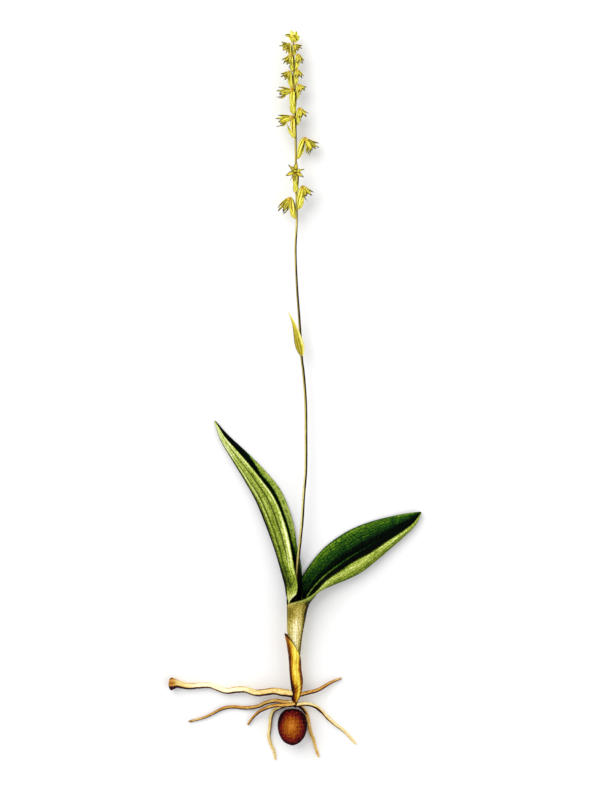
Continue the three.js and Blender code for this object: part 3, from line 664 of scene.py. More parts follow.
SEPAL = {"length": 3.0, "bow": 1.3, "widths": [0.5, 1.0, 1.35, 1.4, 1.1, 0.6, 0.12]}
PETAL = {"length": 3.5, "bow": 1.2, "widths": [0.4, 0.7, 0.95, 1.15, 0.6, 0.4, 0.1]}
LIP = {"length": 3.9, "bow": 1.9, "widths": [0.5, 0.95, 1.2, 0.9, 0.55, 0.4, 0.1]}
LIP_LOBE = {"length": 3.0, "bow": 2.2, "widths": [0.5, 0.55, 0.5, 0.35, 0.1]}
OVARY_GIRTH = [0.22, 0.4, 0.78, 0.86, 0.62, 0.5, 0.62]
NARROWEST_BELL = 0.55
FOOT_OUT = 0.34
BRACT_WAY = [(0.05, -0.35), (0.75, 0.1), (1.35, 0.9), (1.85, 2.0), (2.05, 3.3)]
BRACT_WIDTHS = [0.7, 1.3, 1.4, 1.1, 0.6, 0.1]

# Closed buds at the tip: middle, half length, half width, and the way that each points.

BUDS = [
    ([-0.1, 207.75, 4.2], 1.0, 0.72, [-0.2, 1.0, 0.1]), ([1.0, 207.5, 4.5], 1.0, 0.75, [0.3, 1.0, 0.5]),
    ([1.5, 206.4, 4.2], 1.0, 0.75, [0.8, 0.7, 0.5]), ([0.5, 206.6, 5.2], 0.95, 0.8, [0.1, 0.4, 1.0]),
    ([-0.3, 206.4, 4.7], 0.98, 0.7, [-0.7, 0.6, 0.7]), ([1.0, 205.8, 4.8], 0.9, 0.7, [0.4, 0.1, 1.0]),
    ([-1.25, 207.25, 4.3], 0.8, 0.45, [-1.0, 0.1, 0.1]), ([0.3, 206.2, 3.5], 1.1, 0.75, [0.1, 0.9, -0.5]),
]
PALE_BUDS = 2
FRONT_BUD = 3
SIDE_BUD = 6
SCALE_WIDTHS = [0.5, 0.9, 0.8, 0.45, 0.1]
SCALE_THICKNESS = 0.14

# Stage: the picture in points, the point where the plant's own zero lies, how many millimetres a point stands
# for, the width of the camera's sensor, and each lamp's name, place, size and power. Lamps look at LAMP_AIM.

PICTURE = 600, 800
CROWN_PIXEL = 292, 726
PIXEL = 0.3
SENSOR = 36
FLOOR_SIZE = 6
FLOOR_HEIGHT = -0.0001
SKY_STRENGTH = 0.72
LAMP_AIM = 0, 0.1, 0
LAMPS = ("key", (-0.45, 0.55, 0.8), 0.8, 6.2), ("fill", (0.6, -0.2, 0.7), 0.9, 2.2)


# Settings

def length_setting(name, description, default):
    return bpy.props.FloatProperty(name=name, description=description, default=default, unit="LENGTH")


def color_setting(name, description, default):
    return bpy.props.FloatVectorProperty(
        name=name, description=description, default=ink(default), size=4, subtype="COLOR")


class TuberSettings(bpy.types.PropertyGroup):
    half_width: length_setting("Half width", "Half the tuber across", 0.0045)
    half_length: length_setting("Half length", "Half the tuber along the plant", 0.0057)
    half_depth: length_setting("Half depth", "Half the tuber from back to front", 0.0044)
    # The heart colour is the skin's orange-brown with a painted highlight; the rim colour is painted shade at
    # the sides.
    lit_heart_color: color_setting("Heart", "Colour in the middle of the skin", "aa5c14")
    rim_color: color_setting("Rim", "Colour of the skin at the sides", "1e0408")


class RootSettings(bpy.types.PropertyGroup):
    tip_radius: length_setting("Tip radius", "Radius of a root at its tip", 0.0003)
    skin_color: color_setting("Skin", "Lightest colour of the roots", "fbf2cc")
    shade_color: color_setting("Shade", "Colour of their darker side", "2c1420")


class StemSettings(bpy.types.PropertyGroup):
    radius: length_setting("Radius", "Radius of the stem above the leaves", 0.00045)
    # Painted light and shade: the light side colour is the stem's olive yellow where lit, and the dark side
    # colour is painted shade.
    lit_side_color: color_setting("Light side", "Colour of the stem's light side", "c9bb62")
    shaded_side_color: color_setting("Dark side", "Colour of the stem's dark side", "120608")


class SheathSettings(bpy.types.PropertyGroup):
    wall: length_setting("Wall", "Thickness of the dry scale leaf", 0.0003)
    color: color_setting("Colour", "Lightest colour of the scale leaf", "f5e254")


class LeafSettings(bpy.types.PropertyGroup):
    thickness: length_setting("Thickness", "Thickness of a leaf at its midrib", 0.00045)
    upper_color: color_setting("Upper face", "Main colour of the upper face", "1e4e0e")
    under_color: color_setting("Under face", "Main colour of the under face", "7f922a")


class BloomSettings(bpy.types.PropertyGroup):
    petal_thickness: length_setting("Petal thickness", "Thickness of sepals and petals", 0.00016)
    color: color_setting("Colour", "Lightest colour of the flowers", "ece238")
    throat_color: color_setting("Throat", "Colour at the throat and the neck", "a8640f")


class StageSettings(bpy.types.PropertyGroup):
    lens: bpy.props.FloatProperty(
        name="Lens", description="Focal length of the camera", default=100.0, unit="CAMERA")
    floor_color: color_setting("Floor", "Colour of the floor", (0.9, 0.9, 0.9, 1))


# Tuber

class ORCHID_OT_tuber(bpy.types.Operator):
    """Adds the round tuber with its fibrous skin, painted light in the middle and dark with shade at the
    sides
    """
    bl_idname = "orchid.tuber"
    bl_label = "Tuber"

    def execute(self, context):
        sizes = context.scene.orchid_tuber
        half = np.array([sizes.half_width, sizes.half_length, sizes.half_depth]) / MM
        piece, ball = new_ball("tuber", 160, 96)
        lumps = 0.02 * weave(ball, 0.55, 1) + 0.006 * weave(ball, 0.16, 2)
        turn = np.arctan2(ball[:, 0], ball[:, 2])
        wrinkles = 0.006 * np.cos(46 * turn + 1.6 * weave(ball, 0.5, 3)) * (1 - ball[:, 1] ** 2)
        skin = ball * (1 + lumps + wrinkles)[:, None]
        skin[:, 0] *= 1 + 0.06 * ball[:, 1]
        skin[:, 1] -= 0.07 * np.exp(-((ball[:, 0] ** 2 + ball[:, 2] ** 2) / 0.09)) * (ball[:, 1] > 0)
        shaped = skin * half * TUBER_FIT + TUBER_MIDDLE
        low = shaped[:, 2] < SPOT_START
        shaped[low, 2] = SPOT_START - SPOT_DEPTH * np.tanh((SPOT_START - shaped[low, 2]) / SPOT_DEPTH)
        shaped[:, 2] = np.maximum(shaped[:, 2], SPOT_HEIGHT)
        put_places(piece, shaped * MM)

        # Painted light and shade: the tint is lightest at a heart toward the upper left and falls through
        # crimson to a near-black rim at the sides.
        off = (shaped - TUBER_MIDDLE) / half
        inward = (1 - np.hypot(off[:, 0], off[:, 1]))[:, None]
        from_lit_heart = np.hypot(*(off[:, :2] - inward * TUBER_LIT_HEART / half[:2]).T)
        rows = np.cos(23 * turn) * np.cos(30 * ball[:, 1] + 2 * np.cos(23 * turn))
        mark(piece, tint=1 - from_lit_heart + 0.05 * rows)
        dress(piece, plant_skin(
            "tuber_skin",
            shades(0, "040103", 0.1, "070203", 0.16, sizes.rim_color, 0.22, "48060d", 0.31, "801619",
                   0.42, "6c260a", 0.54, "8a4408", 0.78, sizes.lit_heart_color, 1, "c47c30"),
            points=0.36, point_size=0.4, clouds=0.1, fiber_count=4.0, fiber_breaks=110.0, fibers=0.2,
            roughness=0.75, relief=0.1, shine=0.02))
        finish_piece(piece, "tuber")
        return {"FINISHED"}


# Stolon and roots

def root_skin():
    settings = bpy.context.scene.orchid_roots
    return plant_skin(
        "root_skin",
        shades(0, settings.shade_color, 0.2, "5a2c18", 0.4, "b4782c", 0.58, "d2a44a", 0.78, "ead48a",
               1, settings.skin_color),
        points=0.22, point_size=0.34, clouds=0.3, cloud_size=1.6, fiber_count=14.0, fiber_breaks=30.0,
        fibers=0.16, roughness=0.75, relief=0.05, shine=0.04)


class ORCHID_OT_stolon(bpy.types.Operator):
    """Adds the creeping shoot with the young tuber at its end"""
    bl_idname = "orchid.stolon"
    bl_label = "Stolon"

    def execute(self, context):
        line = Line(STOLON_LINE)

        def radius_at(t, angle):
            uneven = weave(line.at(t) + 0.6 * turned(Y, Z, angle), 2.2, 11)
            radius = spread(STOLON_RADII, t) * (1 + 0.05 * uneven)
            for ring in STOLON_RINGS:
                radius = radius + 0.07 * bump(t, ring, 0.006) - 0.06 * bump(t, ring + 0.012, 0.006)
            flare = smooth(t, 0.9, 0.97)
            return radius * (1 + flare * (0.1 * np.cos(5 * angle + 1) + 0.07 * np.cos(9 * angle)))

        piece, t, angle, shade = make_tube("stolon", line, radius_at, 64, 420)
        knob = smooth(t, 0.88, 0.95)
        white = smooth(t, 0.3, 0.5) * (1 - smooth(t, 0.72, 0.84))
        base = mix(mix(0.74, 1.05, white), 0.4, knob)
        # Painted shade darkens the stolon's lower side; a thin dark line runs along its upper edge.
        edge = smooth(shade, 0.15, 0.5) * mix(1, 0.5, knob) + 0.45 * smooth(-shade, 0.7, 0.95) * (1 - knob)
        mark(piece, tint=base - 1.1 * edge - 0.12 * np.cos(7 * angle) * knob)
        dress(piece, root_skin())
        finish_piece(piece, "stolon")
        return {"FINISHED"}


class ORCHID_OT_roots(bpy.types.Operator):
    """Adds the plain roots that spread from the crown"""
    bl_idname = "orchid.roots"
    bl_label = "Roots"

    def execute(self, context):
        tip = context.scene.orchid_roots.tip_radius / MM
        for i, (radius, brown, way) in enumerate(ROOTS):
            node = f"root_{i + 1}"
            line = Line(way)

            def radius_at(t, angle):
                spots = line.at(t) + 0.5 * turned(X, Z, angle)
                return mix(radius, tip, t ** 2) * (1 + 0.09 * weave(spots, 1.8, 20 + i))

            piece, t, angle, shade = make_tube(node, line, radius_at, 40, 200)
            base = 0.84 - brown * (1.0 - 0.25 * np.cos(5 * t)) + 0.12 * weave(line.at(t), 3.0, 40 + i)
            base = base - 0.25 * (1 - smooth(t, 0, 0.12))
            # Painted shade darkens each root's lower side; a thin dark line runs along its upper edge.
            mark(piece, tint=base - 0.95 * smooth(shade, 0.15, 0.5) - 0.35 * smooth(-shade, 0.7, 0.95))
            dress(piece, root_skin())
            finish_piece(piece, node)
        return {"FINISHED"}


# Stem and its bract

class ORCHID_OT_stem(bpy.types.Operator):
    """Adds the flower stem from its crown on the tuber to the tip of the spike"""
    bl_idname = "orchid.stem"
    bl_label = "Stem"

    def execute(self, context):
        settings = context.scene.orchid_stem
        line = Line(np.vstack([STEM_FOOT, STEM_LINE.points, STEM_TIP]))

        def radius_at(t, angle):
            y = line.at(t)[:, 1]
            radius = mix(mix(0.38, settings.radius / MM, smooth(y, 34, 50)), 0.34, smooth(y, 60, 150))
            radius = radius + 0.75 * bump(y, 6.6, 0.7) * (1 + 0.08 * np.cos(7 * angle))
            return radius * (1 + 0.05 * np.cos(5 * angle + 0.02 * y))

        piece, t, angle, shade = make_tube("stem", line, radius_at, 32, 900, toward=(1, -0.1, -0.25))
        y = line.at(t)[:, 1]
        spike = smooth(y, 144, 152)
        top = smooth(y, 200, 204)
        # Painted light and shade: the stem is dark on its right side, with breaks, and carries a painted
        # highlight on its left side; below about 47 mm, inside the leaf sheaths, it is painted in deep shade.
        breaks = 0.25 * weave(line.at(t), 4.0, 5) - 0.6 * spike - 0.1 * top
        base = 0.58 + 0.25 * bump(y, 70, 22) + 0.1 * bump(y, 150, 14) - 0.25 * bump(y, 120, 16)
        base = base - 0.12 * bump(y, 178, 22) - 0.8 * (1 - smooth(y, 40, 47)) + 0.1 * spike + 0.15 * top
        mark(piece, tint=base - 0.95 * smooth(shade + breaks, -0.45, 0.1) + 0.15 * bump(shade, -0.75, 0.3))
        dress(piece, plant_skin(
            "stem_skin",
            shades(0, settings.shaded_side_color, 0.22, "482814", 0.42, "7c6628", 0.62, "a89a48",
                   0.82, settings.lit_side_color, 1, "f0ecb4"),
            points=0.12, point_size=0.2, fiber_count=12.0, fiber_breaks=90.0, fibers=0.12, relief=0.03))
        finish_piece(piece, "stem")
        return {"FINISHED"}


def make_blade(name, line, facing, widths, along=28, across=12, cup=0.4, curl=0.0, wave=0.0, seed=0):
    """A small pointed leaf along a line. Returns it and its shares along and across, from -1 to 1."""
    piece, t, v = new_grid(name, along, across)
    s = 2 * v - 1
    heading = line.heading(t)
    sideways = unit(np.cross(heading, facing))
    upward = np.cross(sideways, heading)
    half = spread(widths, t) / 2
    ripple = wave * np.sin(9 * t + 2 * s + seed) * np.abs(s) ** 2
    height = (-cup * s * s + curl * t ** 3) * half + ripple
    put_places(piece, (line.at(t) + sideways * (s * half)[:, None] + upward * height[:, None]) * MM)
    return piece, t, s


def finish_blade(piece, t, s, skin, thickness, tint, warm, groove):
    mark(piece, tint=tint, warm=warm, groove=groove)
    dress(piece, skin)
    give_thickness(piece, thickness, np.clip(1.0 - 0.7 * np.abs(s) ** 3 - 0.2 * t, 0.2, 1))
    return piece


class ORCHID_OT_stem_bract(bpy.types.Operator):
    """Adds the small pointed leaf halfway up the stem"""
    bl_idname = "orchid.stem_bract"
    bl_label = "Stem bract"

    def execute(self, context):
        piece, t, s = make_blade("stem_bract", Line(STEM_BRACT_LINE), Z, STEM_BRACT_WIDTHS, 90, 36, cup=0.6)
        tint = 0.55 + 0.4 * smooth(s, 0.2, 0.7) - 0.25 * smooth(-s, 0.3, 1.0) + 0.2 * smooth(t, 0.7, 1.0)
        tint = tint - 0.45 * smooth(s, 0.9, 1.0) - 0.25 * (1 - smooth(t, 0, 0.12))
        veins = (bump(s, -0.35, 0.08) + bump(s, 0.12, 0.08)) * (1 - smooth(t, 0.5, 0.8))
        groove = np.clip(0.9 * veins + 0.6 * smooth(-s, 0.82, 0.98), 0, 1)
        skin = plant_skin(
            "bract_skin",
            shades(0, "3c3008", 0.25, "7c6c14", 0.5, "b2a428", 0.75, "dccf4a", 0.9, "f4ea78", 1, "faf4a8"),
            points=0.2, cloud_size=1.2, fiber_count=26.0, fiber_breaks=4.0, fibers=0.2, dark=ink("463008"),
            translucent=0.05)
        finish_blade(piece, t, s, skin, STEM_BRACT_THICKNESS, tint, 0, groove)
        finish_piece(piece, "stem_bract")
        return {"FINISHED"}


# Basal sheath

def wrap_sheath(t, w):
    """How far up the plant each point of the scale leaf lies, and at what angle. Its top edge slants."""
    top = SHEATH_LOW_TOP
    for _ in range(3):
        y = mix(SHEATH_FOOT, top, t)
        seam = np.radians(np.interp(y, SEAM_PLACES, SEAM_ANGLES))
        angle = seam - w * math.radians(360 + SHEATH_OVERLAP)
        top = SHEATH_LOW_TOP + SHEATH_RISE * np.abs(np.sin(angle / 2)) ** 1.3
    return y, angle


class ORCHID_OT_basal_sheath(bpy.types.Operator):
    """Adds the dry scale leaf wrapped round the foot of the leaves"""
    bl_idname = "orchid.basal_sheath"
    bl_label = "Basal sheath"

    def execute(self, context):
        settings = context.scene.orchid_sheath
        piece, t, w = new_grid("basal_sheath", 150, 150)
        y, angle = wrap_sheath(t, w)
        radius = np.interp(y, BASAL_SHEATH[:, 0], BASAL_SHEATH[:, 2]) - SHEATH_INSET
        center = np.interp(y, BASAL_SHEATH[:, 0], BASAL_SHEATH[:, 1])
        radius = radius + 0.18 * (0.5 - w) + 0.05 * np.cos(3 * angle + 0.4 * y)
        radius = radius + 0.14 * bump(w, 0.0, 0.05) - 0.55 * (1 - smooth(y, 7.0, 8.3))
        radius = radius + 0.018 * np.cos(38 * angle + np.sin(y))
        across = np.cos(angle)
        points = np.stack([center + radius * across, y, AXIS_HEIGHT + radius * np.sin(angle)], axis=1)
        put_places(piece, points * MM)

        low = 1 - smooth(y, 10.5, 15)
        base = 0.1 + 0.64 * smooth(across, -0.8, -0.2) - 0.56 * smooth(across, 0.45, 0.92)
        base = base - 0.42 * low * (1 - smooth(across, 0.1, 0.45)) + 0.1 * low * bump(across, 0.45, 0.2)
        base = base + 0.25 * smooth(y, 22, 27) * (1 - smooth(across, -0.6, 0.2))
        base = base - 0.2 * (1 - smooth(y, 7.5, 9.5))
        rim = 1 - smooth((1 - t) * 12, 0.06, 0.32)
        flap = bump(w, 0.012, 0.014)
        crease = bump(across, 0.22 + 0.03 * np.sin(y), 0.035) * bump(y, 18, 4)
        mark(piece, tint=base, groove=np.clip(0.95 * rim + 0.5 * flap + 0.6 * crease, 0, 1))
        dress(piece, plant_skin(
            "sheath_skin",
            shades(0, "24080a", 0.14, "54200a", 0.3, "8f4c05", 0.46, "b0780e", 0.62, "d6a824",
                   0.8, settings.color, 1, "fbee86"),
            points=0.16, point_size=0.36, cloud_size=3.0, fiber_count=60.0, fiber_breaks=4.0, fibers=0.36,
            roughness=0.65, relief=0.06, shine=0.05, dark=ink("2a0c0a")))
        give_thickness(piece, settings.wall / MM, np.clip(1 - 0.6 * bump(w, 0, 0.03), 0.3, 1))
        finish_piece(piece, "basal_sheath")
        return {"FINISHED"}


# Leaves

def make_leaf(name, leaf, along=260, across=110):
    """Shapes a leaf's sheet with its grooves. Returns it, its shares and each point's depth in a groove."""
    piece, t, v = new_grid(name, along, across)
    s = 2 * v - 1
    surface = leaf_surface(leaf)
    step = 0.003
    lengthwise = surface(np.minimum(1, t + step), s) - surface(np.maximum(0, t - step), s)
    crosswise = surface(t, np.minimum(1, s + step)) - surface(t, np.maximum(-1, s - step))
    outward = unit(np.cross(lengthwise, crosswise)) * leaf["turn"]
    depth = np.zeros_like(t)
    for place, width, strength, start, end in leaf["grooves"]:
        fade = smooth(t, start, start + GROOVE_FADE) * (1 - smooth(t, end - GROOVE_FADE, end))
        depth = np.maximum(depth, strength * bump(s, place, width) * fade)
    open_part = smooth(t, leaf["closed"], leaf["closed"] + 2 * OPENING) * (1 - smooth(t, 0.9, 1))
    veins = VEIN_HEIGHT * np.cos(s * 70) * open_part
    waves = WAVE_HEIGHT * np.sin(26 * t + 2.2 * np.sign(s)) * np.abs(s) ** 4 * open_part * (s > 0)
    lift = (-GROOVE_DEPTH * depth + veins + waves)[:, None]
    put_places(piece, (surface(t, s) + outward * lift) * MM)
    if leaf["turn"] < 0:
        in_edit_mode(piece, bpy.ops.mesh.flip_normals)
    return piece, t, s, depth


def leaf_skins():
    """The materials of a leaf's pale under face and its dark upper face, shared by both leaves."""
    settings = bpy.context.scene.orchid_leaves
    under = plant_skin(
        "leaf_under",
        shades(0, "040602", 0.18, "26340a", 0.38, "546812", 0.55, settings.under_color, 0.72, "aebc4c",
               0.86, "d0da7e", 1, "eef2c6"),
        tint="under_tint", points=0.32, point_size=0.42, clouds=0.24, fiber_count=60.0, fiber_breaks=9.0,
        fibers=0.3, shine=0.05, dark=ink("0c1a04"),
        warm=shades(0, "120c02", 0.2, "58480f", 0.4, "94852e", 0.6, "bfae5c", 0.8, "e2d69a", 1, "fbf6d0"))
    upper = plant_skin(
        "leaf_upper",
        shades(0, "010301", 0.25, "041206", 0.45, "0e2e0c", 0.6, settings.upper_color, 0.75, "4c7210",
               0.9, "7c9620", 1, "b2c05c"),
        tint="upper_tint", points=0.34, point_size=0.42, clouds=0.24, fiber_count=50.0, fiber_breaks=9.0,
        fibers=0.22, relief=0.04, shine=0.03)
    return under, upper


def finish_leaf(piece, node, t, s, under, warm, upper, groove):
    """Marks a leaf's under face, where s is above 0, and its upper face, then gives it thickness."""
    upper = np.where(s > 0, 0.0, upper)
    mark(piece, under_tint=under, warm=warm, upper_tint=upper, groove=groove * (s > 0.3))
    dress(piece, *leaf_skins())
    thickness = bpy.context.scene.orchid_leaves.thickness / MM
    weights = np.clip(1 - 0.62 * np.abs(s) ** 5 - 0.3 * smooth(t, 0.8, 1), 0.3, 1)
    give_thickness(piece, thickness, weights, material_offset=1, material_offset_rim=0)
    finish_piece(piece, node)


class ORCHID_OT_leaf_right(bpy.types.Operator):
    """Adds the lower leaf, whose base is a closed sheath"""
    bl_idname = "orchid.leaf_right"
    bl_label = "Right leaf"

    def execute(self, context):
        piece, t, s, depth = make_leaf("leaf_right", LEAF_RIGHT)
        u = (t - LEAF_RIGHT["closed"]) / (1 - LEAF_RIGHT["closed"])
        across = np.cos(np.radians(LEAF_RIGHT["midrib_angle"] + s * np.where(s > 0, 205, 146)))
        # Painted light and shade: the sheath part is lighter in front, where the light falls, and darker on
        # its right side and toward the mouth.
        lower = 1 - smooth(t, 0.1, 0.26)
        sheath = 0.5 + mix(0.35, 0.45, lower) * bump(across, mix(0.1, -0.35, lower), 0.5)
        sheath = sheath - 0.42 * smooth(across, mix(0.65, 0.35, lower), 0.95) - 0.3 * smooth(t, 0.27, 0.35)
        # Painted light and shade: the folded near half is lit between dark edge lines, the far half lies in
        # painted shadow beside the midrib, deeper near the foot, and the grooves are painted dark.
        fold = np.interp(s, *FOLD_LIGHT_TINTS)
        far = -s
        edge = np.interp(far, *FAR_SHADE_TINTS) - 0.28 * (1 - smooth(u, 0.1, 0.35)) * smooth(far, 0.3, 0.8)
        band = bump(far, 0.09, mix(0.055, 0.03, smooth(u, 0.2, 0.6))) * (1 - smooth(u, 0.3, 0.85))
        finish_leaf(piece, "leaf_right", t, s, mix(fold, sheath, 1 - smooth(t, 0.34, 0.42)),
                    1 - smooth(t, 0.37, 0.45), edge + 0.9 * band, np.clip(0.5 * depth, 0, 0.8))
        return {"FINISHED"}


class ORCHID_OT_leaf_left(bpy.types.Operator):
    """Adds the upper leaf, which rises from inside the first"""
    bl_idname = "orchid.leaf_left"
    bl_label = "Left leaf"

    def execute(self, context):
        piece, t, s, depth = make_leaf("leaf_left", LEAF_LEFT)
        closed = LEAF_LEFT["closed"]
        u = np.interp((t - closed) / (1 - closed), [0, 0.3, 1], [0, 0.22, 1])
        f = (s - 0.5) * 2
        # Painted light: the near half's under face carries painted highlights on its lower part and along its
        # margin, dark lines at both edges, and its grooves are painted dark as shade.
        under = 0.6 + 0.24 * smooth(u, 0.62, 0.92) - 0.1 * bump(f, 0.5, 0.15)
        under = under - 0.06 * (1 - smooth(u, 0.4, 0.6))
        under = under + 0.16 * (bump(f, 0.26, 0.07) + bump(f, 0.55, 0.07)) * smooth(u, 0.3, 0.5)
        under = under + 0.26 * bump(u, 0.36, 0.1) * bump(f, 0.92, 0.16)
        under = under + 0.22 * bump(u, 0.28, 0.05) * bump(f, 0.75, 0.16)
        under = under - mix(0.3, 0.1, smooth(f, 0.2, 0.8)) * bump(u, 0.17, 0.07) + 0.3 * bump(u, 0.04, 0.07)
        under = under + 0.25 * smooth(f, 0.86, 0.96) * (bump(u, 0.25, 0.2) + bump(u, 0.6, 0.25))
        under = under - 0.6 * smooth(f, 0.975, 1.0) - 0.5 * (1 - smooth(f, 0.0, 0.08)) - 0.3 * (f < 0)
        # Painted shadow: the far half's upper face is near black beneath the near half, except for a lit
        # strip toward its far margin, with a dark line at that margin.
        q = np.clip((-s - mix(0.64, 0.5, smooth(u, 0.55, 0.9))) / 0.38, 0, 1)
        start = np.interp(u, *LIT_STRIP_STARTS)
        upper = 0.02 + smooth(q, start, start + 0.3) * mix(0.62, 0.96, smooth(u, 0.25, 0.45))
        finish_leaf(piece, "leaf_left", t, s, under, 0.3 * bump(u, 0.05, 0.08),
                    upper - 0.5 * smooth(-s, 0.975, 1.0), np.clip(0.95 * depth, 0, 0.9))
        return {"FINISHED"}


# Blooms

def bloom_skins():
    settings = bpy.context.scene.orchid_blooms
    stops = shades(0, "201404", 0.2, "5a480c", 0.4, "928812", 0.58, "c6be20", 0.78, settings.color,
                   1, "f8f48c")
    warm = shades(0, "241006", 0.3, "6a360a", 0.6, settings.throat_color, 1, "d8a23c")
    shared = {"warm": warm, "point_size": 0.4, "relief": 0.03, "translucent": 0.03}
    ovary_skin = plant_skin(
        "ovary_skin", stops, points=0.32, clouds=0.26, cloud_size=1.0, fiber_count=20.0, fiber_breaks=2.0,
        fibers=0.2, dark=ink("241404"), **shared)
    petal_skin = plant_skin(
        "petal_skin", stops, points=0.36, clouds=0.32, cloud_size=0.8, fiber_count=9.0, fiber_breaks=1.5,
        fibers=0.34, dark=ink("2e1c0a"), **shared)
    return ovary_skin, petal_skin


def make_bloom(name, seed, place, side, face, size, bell, nod, lean, opened, twist=0, bract_side=None):
    """One bloom with its ribbed ovary, bract, three sepals, two petals, three-lobed lip and column."""
    draw = np.random.default_rng(seed)
    ovary_skin, petal_skin = bloom_skins()
    thickness = bpy.context.scene.orchid_blooms.petal_thickness / MM
    bract_side = side if bract_side is None else bract_side
    out, gaze, bract_out = (turned(X, Z, math.radians(v)) for v in (side, face, bract_side))
    nod, twist = math.radians(nod), math.radians(twist)
    foot = stem_at(place) + out * FOOT_OUT
    width = mix(NARROWEST_BELL, 1, bell)

    def at(outward, upward):
        return foot + out * outward * size + Y * upward * size

    neck = at(1.4 + 0.6 * lean, 5.0)
    heart = neck + (gaze * 0.36 - Y * 0.2) * size
    ovary_line = Line([
        at(-0.15, -0.35), at(0.4, 0.1), at(0.8, 1.7), at(1.0 + 0.2 * lean, 3.4), at(1.15 + 0.4 * lean, 4.6),
        neck, neck + (gaze * 0.6 - Y * 0.4) * size])

    def hollows(t, angle):
        return 1 - np.abs(np.cos(3 * (angle + 1.6 * t))) ** 0.7

    def girth(t, angle):
        rib = 1 - 0.2 * hollows(t, angle) * smooth(t, 0.05, 0.3)
        return spread(OVARY_GIRTH, t) * rib * mix(size, width, t ** 4)

    ovary, t, angle, shade = make_tube(
        "ovary", ovary_line, girth, 60, 44, toward=(0.8, -0.2, -0.5), ends=(True, False))
    hollow = hollows(t, angle)
    flush = 0.7 * draw.choice([0, 0, 1]) * bump(np.cos(angle), 0.3, 0.3) * bump(t, 0.45, 0.3)
    # Painted shade: the ovary is darker in the hollows between its ribs and on its lower right side.
    mark(
        ovary,
        tint=0.91 - 0.6 * hollow - smooth(shade, 0.05, 0.65) - 0.2 * (1 - smooth(t, 0, 0.2)),
        warm=0.85 * bump(t, 0.84, 0.1) + 0.3 * bump(t, 0.05, 0.08) + flush,
        groove=0.95 * smooth(hollow, 0.35, 0.9) * smooth(t, 0.1, 0.3) * (1 - smooth(t, 0.75, 0.9)))
    close_seams(ovary)
    dress(ovary, ovary_skin)
    parts = [ovary]

    axis = math.cos(nod) * gaze - math.sin(nod) * Y
    upper = math.sin(nod) * gaze + math.cos(nod) * Y
    across = np.cross(gaze, Y)

    def placed(forward, outward, radial):
        return heart + axis * forward * bell + radial * outward * width

    def add_tepal(kind, turn, form, start=0.0, spray=0.0, inner=0.0):
        turn = math.radians(turn + draw.uniform(-8, 8)) + twist
        radial = math.cos(turn) * upper + math.sin(turn) * across
        aside = np.cross(radial, axis) * spray * bell
        length = form["length"] * draw.uniform(0.92, 1.06)
        flare = max(0, opened + draw.uniform(-0.06, 0.12))
        base = placed(start * length, 0.5 - inner + 0.6 * form["bow"] * start, radial)
        middle = placed((0.5 + start * 0.4) * length, form["bow"] - inner, radial) + aside * 0.35
        end = placed(length * (1 - 0.45 * flare), 0.8 + 2.2 * flare - inner, radial) + aside
        piece, t, s = make_blade(
            kind, Arc(base, middle, end), radial, np.array(form["widths"]) * width, 24, 12, cup=0.55,
            curl=0.5, wave=0.03, seed=seed + turn)
        tint = 0.92 - 0.5 * np.abs(s) ** 2 - 0.35 * bump(s, 0, 0.18) - 0.25 * smooth(t, 0.6, 1)
        warm = 0.7 * (1 - smooth(t, 0.0, 0.3)) + 0.5 * draw.uniform(0, 1) * bump(t, 0.6, 0.2)
        line_mark = draw.choice([0, 0.95]) * bump(s, draw.uniform(-0.2, 0.2), 0.24) * bump(t, 0.5, 0.28)
        groove = 0.9 * smooth(t, 0.72, 0.95) + 0.85 * smooth(np.abs(s), 0.55, 0.9) + line_mark
        parts.append(finish_blade(piece, t, s, petal_skin, thickness, tint, warm, np.clip(groove, 0, 0.95)))

    for turn in (0, 120, -120):
        add_tepal("sepal", turn, SEPAL)
    for turn in (62, -62):
        add_tepal("petal", turn, PETAL, inner=0.12)
    add_tepal("lip", 180, LIP, inner=0.05)
    for spray in (0.75, -0.75):
        add_tepal("lip_lobe", 180, LIP_LOBE, start=0.3, spray=spray, inner=0.1)

    bract_line = Line([foot + (bract_out * outward + Y * upward) * size for outward, upward in BRACT_WAY])
    bract, t, s = make_blade(
        "bract", bract_line, turned(bract_out, Z, math.radians(35)), np.array(BRACT_WIDTHS) * size, cup=0.6,
        curl=0.2)
    parts.append(finish_blade(
        bract, t, s, petal_skin, thickness * 1.2, 0.82 - 0.4 * np.abs(s) ** 3, 0.3 * (1 - smooth(t, 0, 0.3)),
        0.7 * smooth(np.abs(s), 0.75, 1.0) + 0.5 * bump(s, 0, 0.08)))

    column, knob = new_ball("column", 20, 12)
    spots = knob[:, :1] * across * 0.42 + knob[:, 1:2] * axis * 0.5 - knob[:, 2:] * upper * 0.36
    put_places(column, (placed(0.75, 0.1, upper) + spots * width) * MM)
    mark(column, tint=0.7 + 0.2 * knob[:, 1], warm=0.7 * (1 - smooth(knob[:, 1], -0.4, 0.4)),
         groove=0.7 * bump(np.abs(knob[:, 0]), 0.35, 0.15) * (knob[:, 1] > 0.2))
    dress(column, ovary_skin)
    return joined(name, parts + [column])


class ORCHID_OT_blooms(bpy.types.Operator):
    """Adds the blooms of the spike, each at its own place and turn"""
    bl_idname = "orchid.blooms"
    bl_label = "Blooms"

    def execute(self, context):
        for i, shape in enumerate(BLOOMS):
            node = f"bloom_{i + 1:02d}"
            finish_piece(make_bloom(node, 100 + i, *shape), node)
        return {"FINISHED"}


